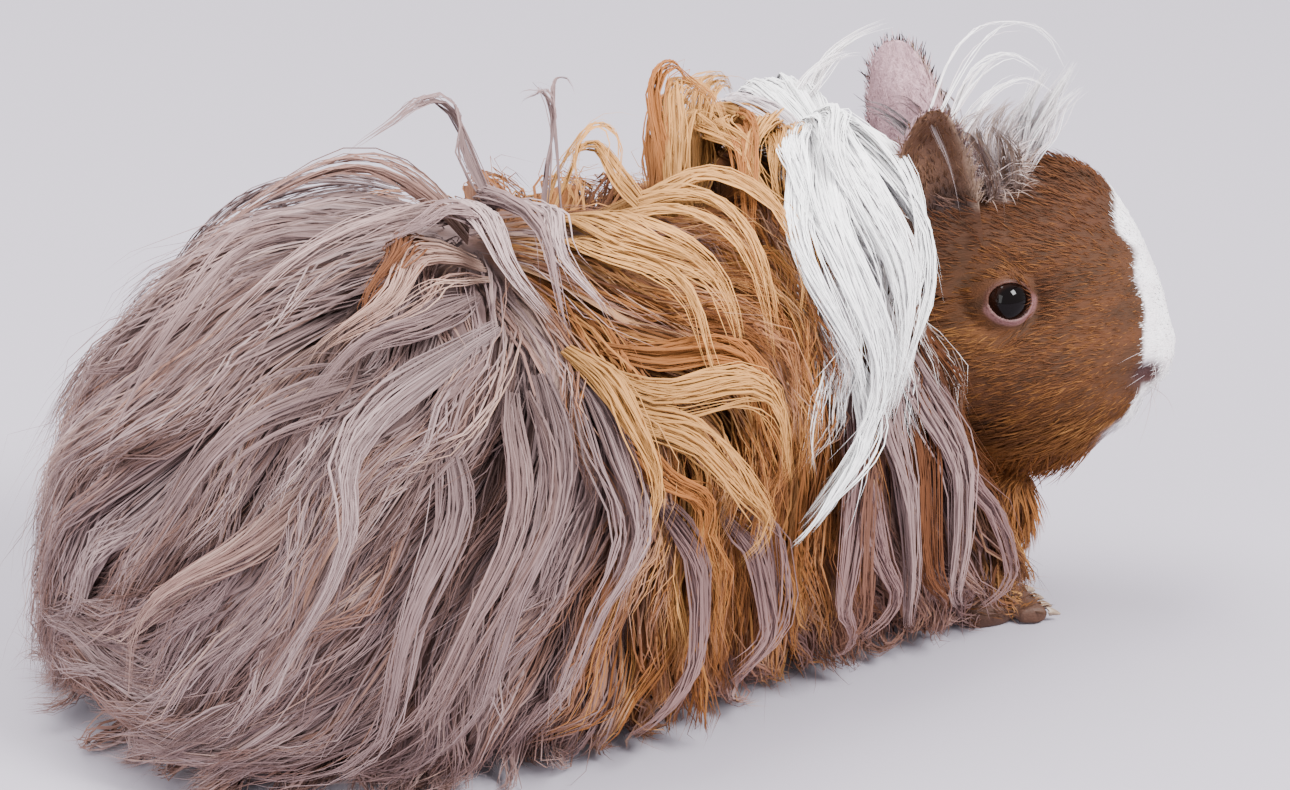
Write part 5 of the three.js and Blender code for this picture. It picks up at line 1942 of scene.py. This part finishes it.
@dataclass
class Coat:
    """The whole coat: long locks on the trunk, short tufts on head and feet, crest and whiskers."""

    skin: Skin
    long_hairs: int = 20500
    short_hairs: int = 18500

    def build(self) -> None:
        """Grows the coat and makes its pieces."""
        surface = SkinMap(self.skin.obj)
        finish = HairFinish().make()
        pieces = {name: CoatPiece(f"coat_{name}", slot) for name, slot in PIECES.items()}
        self.grow_long(pieces)
        self.grow_tresses(pieces)
        self.grow_crest(pieces["crest"])
        self.grow_head(surface, pieces)
        self.grow_feet(surface, pieces["feet"])
        self.grow_whiskers(pieces["head_right"], pieces["head_left"])
        for piece in pieces.values():
            if piece.batches:
                piece.build(surface, finish)

    @staticmethod
    def zone(points: Array) -> Array:
        """The name of the coat piece that hair rooted at each place belongs to."""
        x, y, drop = points[:, 0], points[:, 1], TRUNK.drop(points)
        side = np.where(y < 0, "right", "left")
        names = np.where(x < -42, "rump", "saddle").astype(object) + "_" + side
        third = np.where(drop > 88, "_low", np.where(x < -92, "_rear", "_fore"))
        names = np.where(x < -42, names + third, names)
        names = np.where(x >= 12, "collar", names)
        return np.where((x >= 12) & ((drop > 74) | (x > 44)), "chest", names)

    def grow_long(self, pieces: dict[str, CoatPiece]) -> None:
        """Fills the trunk's coat with combed hairs, and with broad locks under them in darker tones, as
        painted shade.
        """
        coat = LongCoat()
        roots = coat.root_places()
        random = np.random.default_rng(12)
        lengths = coat.length(roots) * random.uniform(0.82, 1.1, len(roots))
        laid = coat.trace(roots, lengths)
        depth = self.skin.depth(roots[:, 0], TRUNK.drop(roots))
        styled = coat.style(laid, depth, wave=6.0, lift=5.0, seed=31)
        LOG.info("combed %d locks", len(roots))
        hairs = coat.fill(styled, self.long_hairs, 8, 17)
        colour = MARKINGS.trunk(hairs["roots"], hairs["tone"])
        zones = self.zone(hairs["roots"])
        width = (0.34 + 0.62 * random.random(len(zones)) ** 2) * np.where(hairs["loose"], 0.5, 1.0)
        for name, piece in pieces.items():
            mine = zones == name
            if mine.any():
                # painted shade at the roots, lighter on the white collar
                dark = 0.75 if name == "collar" else 0.5
                paths, out = hairs["paths"][mine], hairs["out"][mine]
                piece.add(Tufts(paths, out, width[mine], colour[mine], root_shade=dark))
        under = coat.style(laid, depth, wave=2.0, lift=0.0, seed=31)
        paths = under.paths[:, :17:2] - under.out[:, :17:2] * 3.2
        low = ramp(paths[..., 2], 14, 4)
        paths[..., 0] -= 5 * low * np.clip((paths[..., 0] + 30) / 60, -1, 1)
        paths[..., 1] -= 6 * low * np.sign(paths[..., 1])
        paths[..., 2] = np.maximum(paths[..., 2], 7)
        # painted shade: the locks under the hairs take darker tones, standing in for the shadow deep in the
        # coat
        tone = random.normal(-0.35, 0.2, len(roots))
        pieces["under_locks"].add(
            Tufts(paths, under.out[:, :17:2], random.uniform(7, 11, len(roots)), MARKINGS.trunk(roots, tone),
                  thick=0.25, sides=4, fullness=0.4)
        )

    def grow_tresses(self, pieces: dict[str, CoatPiece]) -> None:
        """Adds the listed locks."""
        random = np.random.default_rng(40)
        for tress in TRESSES:
            path, out = tress.path(26)
            count = int(tress.hairs * 1.1)
            # painted shade at the roots, lighter on the white tresses
            rings, dark = (13, 0.85) if tress.colour is Pelt.WHITE else (11, 0.6)
            hair, ways = fill_tress(path, out, tress.spread, count, rings, random, sway=tress.sway)
            tone = tress.tone + random.normal(0, 0.25, count)
            start = tress.places[0]
            root = np.repeat(TRUNK.surface(start[0], math.radians(start[1]))[None], count, 0)
            colour = MARKINGS.trunk(root, tone)
            if tress.colour is not None:
                tint = np.clip(1 + 0.16 * (tone - tress.tone), 0.6, 1.25)[:, None]
                colour = np.clip(tress.colour.rgb[None] * tint, 0, 1)
            width = 0.26 + 0.5 * random.random(count) ** 2
            pieces[self.zone(root)[0]].add(Tufts(hair, ways, width, colour, root_shade=dark))

    def grow_crest(self, piece: CoatPiece) -> None:
        """Adds the wisps that stand up from the crown."""
        random = np.random.default_rng(41)
        for wisp in WISPS:
            path, out = wisp.path(26)
            hair, ways = fill_tress(path, out, wisp.spread, wisp.hairs, 12, random, wisp.open_tip)
            colour = blend(*(c.rgb for c in wisp.colours), random.uniform(0, 1, wisp.hairs) ** 1.5)
            piece.add(Tufts(hair, ways, random.uniform(0.2, 0.36, wisp.hairs), colour, root_shade=0.9))

    @staticmethod
    def head_lie(points: Array, out: Array) -> Array:
        """The lie of the fur on the head: back from the nose, round the eye and down the cheek."""
        x, y, z = points.T
        side = np.sign(y)
        way = np.stack([-np.ones(len(x)), 0.12 * side, -0.3 * ramp(z, 74, 56) + 0.55 * ramp(z, 84, 100)], -1)
        around = np.stack([x - EYE[0], 0 * y, z - EYE[2]], -1)
        close = ramp(np.linalg.norm(around, axis=1), 13, 5)
        way = way + 0.8 * unit(around) * close[:, None]
        return flatten(way, out)

    @staticmethod
    def bent(roots: Array, way: Array, out: Array, length: Array, stand: Array, rings: int) -> Array:
        """Hairs that leave the skin and bend over to lie along it."""
        s = np.linspace(0, 1, rings)[None, :, None]
        forward = length[:, None, None] * (s - 0.12 * s**2)
        up = length[:, None, None] * stand[:, None, None] * (s - 0.55 * s**2)
        return roots[:, None] + way[:, None] * forward + out[:, None] * (up - 0.3)

    @staticmethod
    def ruffled(paths: Array, random: np.random.Generator) -> Array:
        """The hairs with their tips drawn aside at random."""
        share = np.linspace(0, 1, paths.shape[1])[None, :, None]
        return paths + random.normal(0, 0.8, (len(paths), 1, 3)) * share**1.5

    def grow_head(self, surface: SkinMap, pieces: dict[str, CoatPiece]) -> None:
        """Covers the head with short fur, with longer hair on the crown and under the jaw."""
        eye = self.skin.eye

        def wanted(points: Array) -> Array:
            """Fur everywhere on the head but the eyes, the nose, the lips and the ears."""
            x, y, z = HEAD.into(points).T
            reach = HEAD_SHAPE.outside(points)
            ear_foot = (z > 88) & (x < 24)
            on = (reach > -6.2) & (reach < 0.6 + 5 * ear_foot) & (x > -8) & (z > 30)
            tilted = z - eye[2] + 0.2 * (x - eye[0])
            bald = (np.hypot((x - eye[0]) / 6.1, tilted / 5.2) < 1) & (np.abs(y) > 12)
            nose = (x > 64) & (np.hypot(y / 5.0, (z - 65.5) / 3.0) < 1)
            lips = self.skin.mouth(x, np.abs(y), z) > 0.6
            dense = (1 + 0.7 * ramp(x, 14, 34)) * (1 - 0.2 * (y > 0))
            return on * (1.0 - (bald | nose | lips)) * dense + EVERYWHERE

        out, head, out_head = surface.scatter_on_head(self.short_hairs, wanted, 51)
        random = np.random.default_rng(52)
        n = len(head)
        x, y, z = head.T
        way = unit(self.head_lie(head, out_head) + random.normal(0, 0.16, (n, 3)))
        way = flatten(way, out_head)
        length = 4.6 - 2.3 * ramp(x, 34, 60) + 3.6 * ramp(z, 60, 44) + 5.0 * ramp(x, 18, -2)
        length += 4.0 * ramp(z, 101, 109) * ramp(x, 48, 30) * (np.abs(y) < 16)
        length *= random.uniform(0.7, 1.25, n)
        stand = 0.28 + 0.25 * ramp(z, 100, 109) + 0.12 * ramp(x, 20, 0) + 0.1 * ramp(z, 55, 42)
        stand *= random.uniform(0.6, 1.6, n)
        colour = MARKINGS.head(head, random.normal(0.05, 0.36, n))
        paths = HEAD.out(self.bent(head, way, out_head, length, stand, 3))
        width = random.uniform(0.28, 0.48, n) * (0.85 + 0.2 * ramp(length, 3, 8))
        for name, mine in (("head_right", y < 0), ("head_left", y >= 0)):
            own = (rows[mine] for rows in (paths, out, width, colour))
            pieces[name].add(Tufts(*own, thick=0.6, root_shade=0.72, fullness=0.2))
        self.grow_crown(surface, pieces["crest"])
        self.grow_throat(surface, pieces["throat"])
        self.grow_ears(surface, pieces)

    def grow_crown(self, surface: SkinMap, piece: CoatPiece) -> None:
        """Adds the loose hair that stands up between and before the ears."""

        def wanted(points: Array) -> Array:
            """The top of the head from the brow back."""
            x, y, z = HEAD.into(points).T
            on = (z > 103) & (x > 4) & (x < 31) & (np.abs(y) < 8)
            near = np.abs(HEAD_SHAPE.outside(points) + 2.8) < 3.4
            return on * near * (1 - 0.6 * ramp(x, 24, 31)) + EVERYWHERE

        out, head, out_head = surface.scatter_on_head(1200, wanted, 55)
        random = np.random.default_rng(56)
        n = len(head)
        x, y, _ = head.T
        aside = 0.3 * np.sign(y) * ramp(np.abs(y), 2, 8)
        way = np.stack([0.9 * ramp(x, 16, 30) - 0.5, aside, 0.3 + 0 * x], -1)
        way = flatten(way + random.normal(0, 0.3, (n, 3)), out_head)
        length = random.uniform(7, 14, n) * (1 - 0.4 * ramp(x, 24, 31)) * (1 - 0.45 * ramp(np.abs(y), 3, 8))
        paths = self.bent(head, way, out_head, length, random.uniform(1.0, 2.0, n), 6)
        paths = self.ruffled(paths, random)
        pale = random.uniform(0, 0.9, n) * (1 - 0.8 * ramp(np.abs(y), 3, 8))
        colour = blend(Pelt.CROWN_GREY.rgb, Pelt.WHITE_SHADE.rgb, pale)
        brown = np.clip(ramp(np.abs(y), 3, 8) + ramp(x, 25, 30) + random.normal(0, 0.2, n), 0, 1)
        colour = blend(colour, Pelt.CROWN_BROWN.rgb, brown * 0.8)
        piece.add(Tufts(HEAD.out(paths), out, random.uniform(0.16, 0.3, n), colour, root_shade=0.92))

    def grow_throat(self, surface: SkinMap, piece: CoatPiece) -> None:
        """Adds the fur that hangs from the jaw down to the chest."""
        middle, size = np.array(self.skin.throat), np.array(self.skin.throat_size)

        def wanted(points: Array) -> Array:
            """The throat and the underside of the jaw behind the chin."""
            x, _, z = HEAD.into(points).T
            throat = (np.linalg.norm((points - middle) / size, axis=1) < 1.15) & (points[:, 0] > 62)
            jaw = (z < 46) & (x > 16) & (x < 50) & (np.abs(HEAD_SHAPE.outside(points) + 3) < 3)
            return np.maximum(throat, 0.8 * jaw) + EVERYWHERE

        roots, out = surface.scatter(2300, wanted, 57)
        random = np.random.default_rng(58)
        n = len(roots)
        way = flatten(np.array([-0.25, 0, -1]) + random.normal(0, 0.22, (n, 3)), out)
        length = random.uniform(8, 16, n)
        paths = self.bent(roots, way, out, length, random.uniform(0.15, 0.5, n), 5)
        paths = self.ruffled(paths, random)
        head = HEAD.into(roots)
        head[:, 0] = np.minimum(head[:, 0], 38)
        head[:, 2] = np.minimum(head[:, 2], 42)
        colour = MARKINGS.head(head, random.normal(0.1, 0.55, n))
        piece.add(Tufts(paths, out, random.uniform(0.28, 0.46, n), colour, root_shade=0.6))

    def grow_ears(self, surface: SkinMap, pieces: dict[str, CoatPiece]) -> None:
        """Covers the ears with short hair towards their tips, longer along their rims."""
        for name, place in zip(("head_right", "head_left"), EARS):

            def wanted(points: Array) -> Array:
                """One ear, mostly its rim."""
                across, _, up, on = place.measure(HEAD.into(points))
                return on * (0.5 + place.rim(across, up)) + EVERYWHERE

            out, head, out_head = surface.scatter_on_head(1700, wanted, 61 + place.sign)
            random = np.random.default_rng(64 + place.sign)
            n = len(head)
            across, _, up, _ = place.measure(head)
            rim = place.rim(across, up)
            way = np.stack([0.7 * np.sign(across) * rim, 0 * up, np.ones(n)], -1)
            way = flatten((way + random.normal(0, 0.25, (n, 3))) @ place.turn.T, out_head)
            length = random.uniform(2, 4, n) + random.uniform(0, 3, n) * rim * ramp(up, 6, 20)
            colour = MARKINGS.ear(place, head, out_head, random.normal(0.25, 0.5, n))
            paths = self.bent(head, way, out_head, length, random.uniform(0.2, 0.6, n), 4)
            width = random.uniform(0.22, 0.36, n)
            pieces[name].add(Tufts(HEAD.out(paths), out, width, colour, root_shade=0.8))

    def grow_feet(self, surface: SkinMap, piece: CoatPiece) -> None:
        """Adds the sparse short fur on the backs of the paws."""

        def wanted(points: Array) -> Array:
            """The upper sides of the paws."""
            x, y, z = points.T
            on = (z < 15) & (z > 3) & (np.abs(y) > 14)
            fore = (x > 55) & (x < 80)
            hind = (np.abs(x + 62) < 18) & (np.abs(y) < 44)
            return on * (2.5 * fore + hind) + 1e-9

        roots, out = surface.scatter(2000, wanted, 71)
        random = np.random.default_rng(72)
        n = len(roots)
        way = flatten(np.array([1.0, 0, -0.3]) + random.normal(0, 0.2, (n, 3)), out)
        length = random.uniform(2.4, 4.4, n)
        paths = self.bent(roots, way, out, length, random.uniform(0.25, 0.8, n), 4)
        paths[..., 2] = np.maximum(paths[..., 2], 0.5)
        colour = MARKINGS.shade(random.normal(0, 0.6, n), Pelt.FACE_DARK, Pelt.PAW, Pelt.FACE_LIGHT)
        piece.add(Tufts(paths, out, random.uniform(0.28, 0.42, n), colour, thick=0.6, root_shade=0.8))

    def grow_whiskers(self, right: CoatPiece, left: CoatPiece) -> None:
        """Adds fine long whiskers from the pads beside the nose."""
        random = np.random.default_rng(81)
        for piece, sign in ((right, -1), (left, 1)):
            n = 16
            root = np.stack(
                [random.uniform(58, 64, n), sign * random.uniform(6.5, 11, n), random.uniform(55, 64, n)], -1
            )
            ahead = random.uniform(-0.25, 0.35, n)
            way = unit(np.stack([ahead, np.full(n, sign * 0.9), random.normal(0.05, 0.3, n)], -1))
            length = random.uniform(16, 32, n)
            s = np.linspace(0, 1, 9)[None, :, None]
            droop = np.array([-0.25, 0, -0.18]) * (length[:, None, None] * s**2)
            paths = HEAD.out(root[:, None] + way[:, None] * length[:, None, None] * s + droop)
            colour = blend(Pelt.WHITE_SHADE.rgb, Pelt.FACE.rgb, random.uniform(0.3, 0.8, n))
            out = np.repeat(np.array([[0.0, 0, 1]]), n, 0)
            piece.add(Tufts(paths, out, np.full(n, 0.13), colour, thick=1.0, root_shade=0.9))


# ---- Eyes and claws ----


@dataclass
class Eyes:
    """Two wet round eyes that sit in the skin's lids."""

    skin: Skin

    def build(self) -> None:
        """Makes both eyeballs, each turned to look out of its lids."""
        finish = EyeFinish().make()
        for side, sign in SIDES:
            middle, out, forward, up = self.skin.eye_axes(sign)

            def place(share: Array, angle: Array) -> Array:
                """A ball with a slight bulge where the cornea is."""
                polar = share * np.pi
                radius = self.skin.eye_radius + 0.25 * hill((polar, 0, 0.7))
                ring = np.sin(polar) * radius
                local = (
                    out * (np.cos(polar) * radius)[:, None]
                    + forward * (ring * np.cos(angle))[:, None]
                    + up * (ring * np.sin(angle))[:, None]
                )
                return HEAD.out(middle + local)

            eye = formed_sphere(f"eyeball_{side}", 48, 32, place)
            away = HEAD.into(vertices(eye)) - middle
            polar = np.arccos(np.clip(unit(away) @ out, -1, 1)) / np.pi
            store(eye.data, "iris", "FLOAT", np.clip(polar * 2.4, 0, 1))
            eye.data.materials.append(finish)
            eye.data.shade_smooth()
            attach(eye, "root")
            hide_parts(f"eye_{side}")
            LOG.info("%s", eye.name)


@dataclass
class Claws:
    """The claws of each paw, smoothed from their solids."""

    def build(self) -> None:
        """Makes one piece of claws for each paw."""
        finish = HornFinish().make()
        for leg, toes in (("fore", 4), ("hind", 3)):
            for side, _ in SIDES:
                nodes = [f"{leg}claw_{side}_{i + 1}" for i in range(toes)]
                claws = join([merged_copy(node, "claw") for node in nodes], f"claws_{leg}_{side}")
                apply_modifier(claws, "SUBSURF", levels=2, render_levels=2)
                claws.data.shade_smooth()
                claws.data.materials.append(finish)
                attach(claws, "root")
                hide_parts(*nodes)
                LOG.info("%s", claws.name)


# ---- Studio ----


@dataclass(frozen=True)
class Studio:
    """A plain pale floor, soft lights and the camera."""

    azimuth: float = math.radians(-20)
    elevation: float = math.radians(22)
    target: tuple[float, float, float] = (-12.2, 0, 60)
    distance: float = 1.0
    sensor: float = 36
    view_width: float = 0.303  # width of what the camera sees at the target, in metres

    def build(self) -> None:
        """Makes the floor, the lights and the camera."""
        self.floor()
        target = Vector(PLAN.world(np.array(self.target)))
        self.light("key", target, (0.65, -1.0, 1.2), 0.55, 66)
        self.light("fill", target, (-1.2, -0.7, 0.5), 1.0, 20)
        self.light("top", target, (-0.3, 0.4, 1.3), 1.0, 42)
        world = bpy.data.worlds.new("studio")
        bpy.context.scene.world = world
        world.use_nodes = True
        background = world.node_tree.nodes["Background"]
        set_inputs(world.node_tree, background, {"Color": (*linear("#e9e6ea"), 1), "Strength": 1.45})
        self.camera(target)

    def floor(self) -> None:
        """A wide plain floor."""
        deselect()
        bpy.ops.mesh.primitive_plane_add(size=6, location=(0, 0, 0))
        floor = bpy.context.object
        floor.name = "floor"
        material, tree, shader = new_material("pale_matte_floor")
        set_inputs(tree, shader, {"Base Color": (*linear("#a39da8"), 1), "Roughness": 0.9})
        floor.data.materials.append(material)

    def light(
        self, name: str, target: Vector, offset: tuple[float, float, float], size: float, power: float
    ) -> None:
        """A soft square light that faces the animal."""
        data = bpy.data.lights.new(name, "AREA")
        data.size = size
        data.energy = power
        lamp = bpy.data.objects.new(name, data)
        bpy.context.scene.collection.objects.link(lamp)
        lamp.location = target + Vector(offset)
        lamp.rotation_mode = "QUATERNION"
        lamp.rotation_quaternion = (-Vector(offset)).to_track_quat("-Z", "Y")

    def camera(self, target: Vector) -> None:
        """The camera, a little above the animal's right side, towards its tail."""
        a, e = self.azimuth, self.elevation
        back = Vector((math.sin(a) * math.cos(e), -math.cos(a) * math.cos(e), math.sin(e)))
        data = bpy.data.cameras.new("camera")
        data.sensor_width = self.sensor
        data.lens = self.sensor * self.distance / self.view_width
        camera = bpy.data.objects.new("camera", data)
        bpy.context.scene.collection.objects.link(camera)
        camera.location = target + back * self.distance
        camera.rotation_mode = "QUATERNION"
        camera.rotation_quaternion = (-back).to_track_quat("-Z", "Y")
        bpy.context.scene.camera = camera


def main() -> None:
    """Builds the animal and its studio, and logs how many faces the skin has."""
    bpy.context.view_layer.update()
    Studio().build()
    skin = Skin()
    skin.build()
    skin.dress()
    LOG.info("skin: %d faces", len(skin.obj.data.polygons))
    Eyes(skin).build()
    Claws().build()
    Coat(skin).build()


if __name__ == "__main__":
    main()
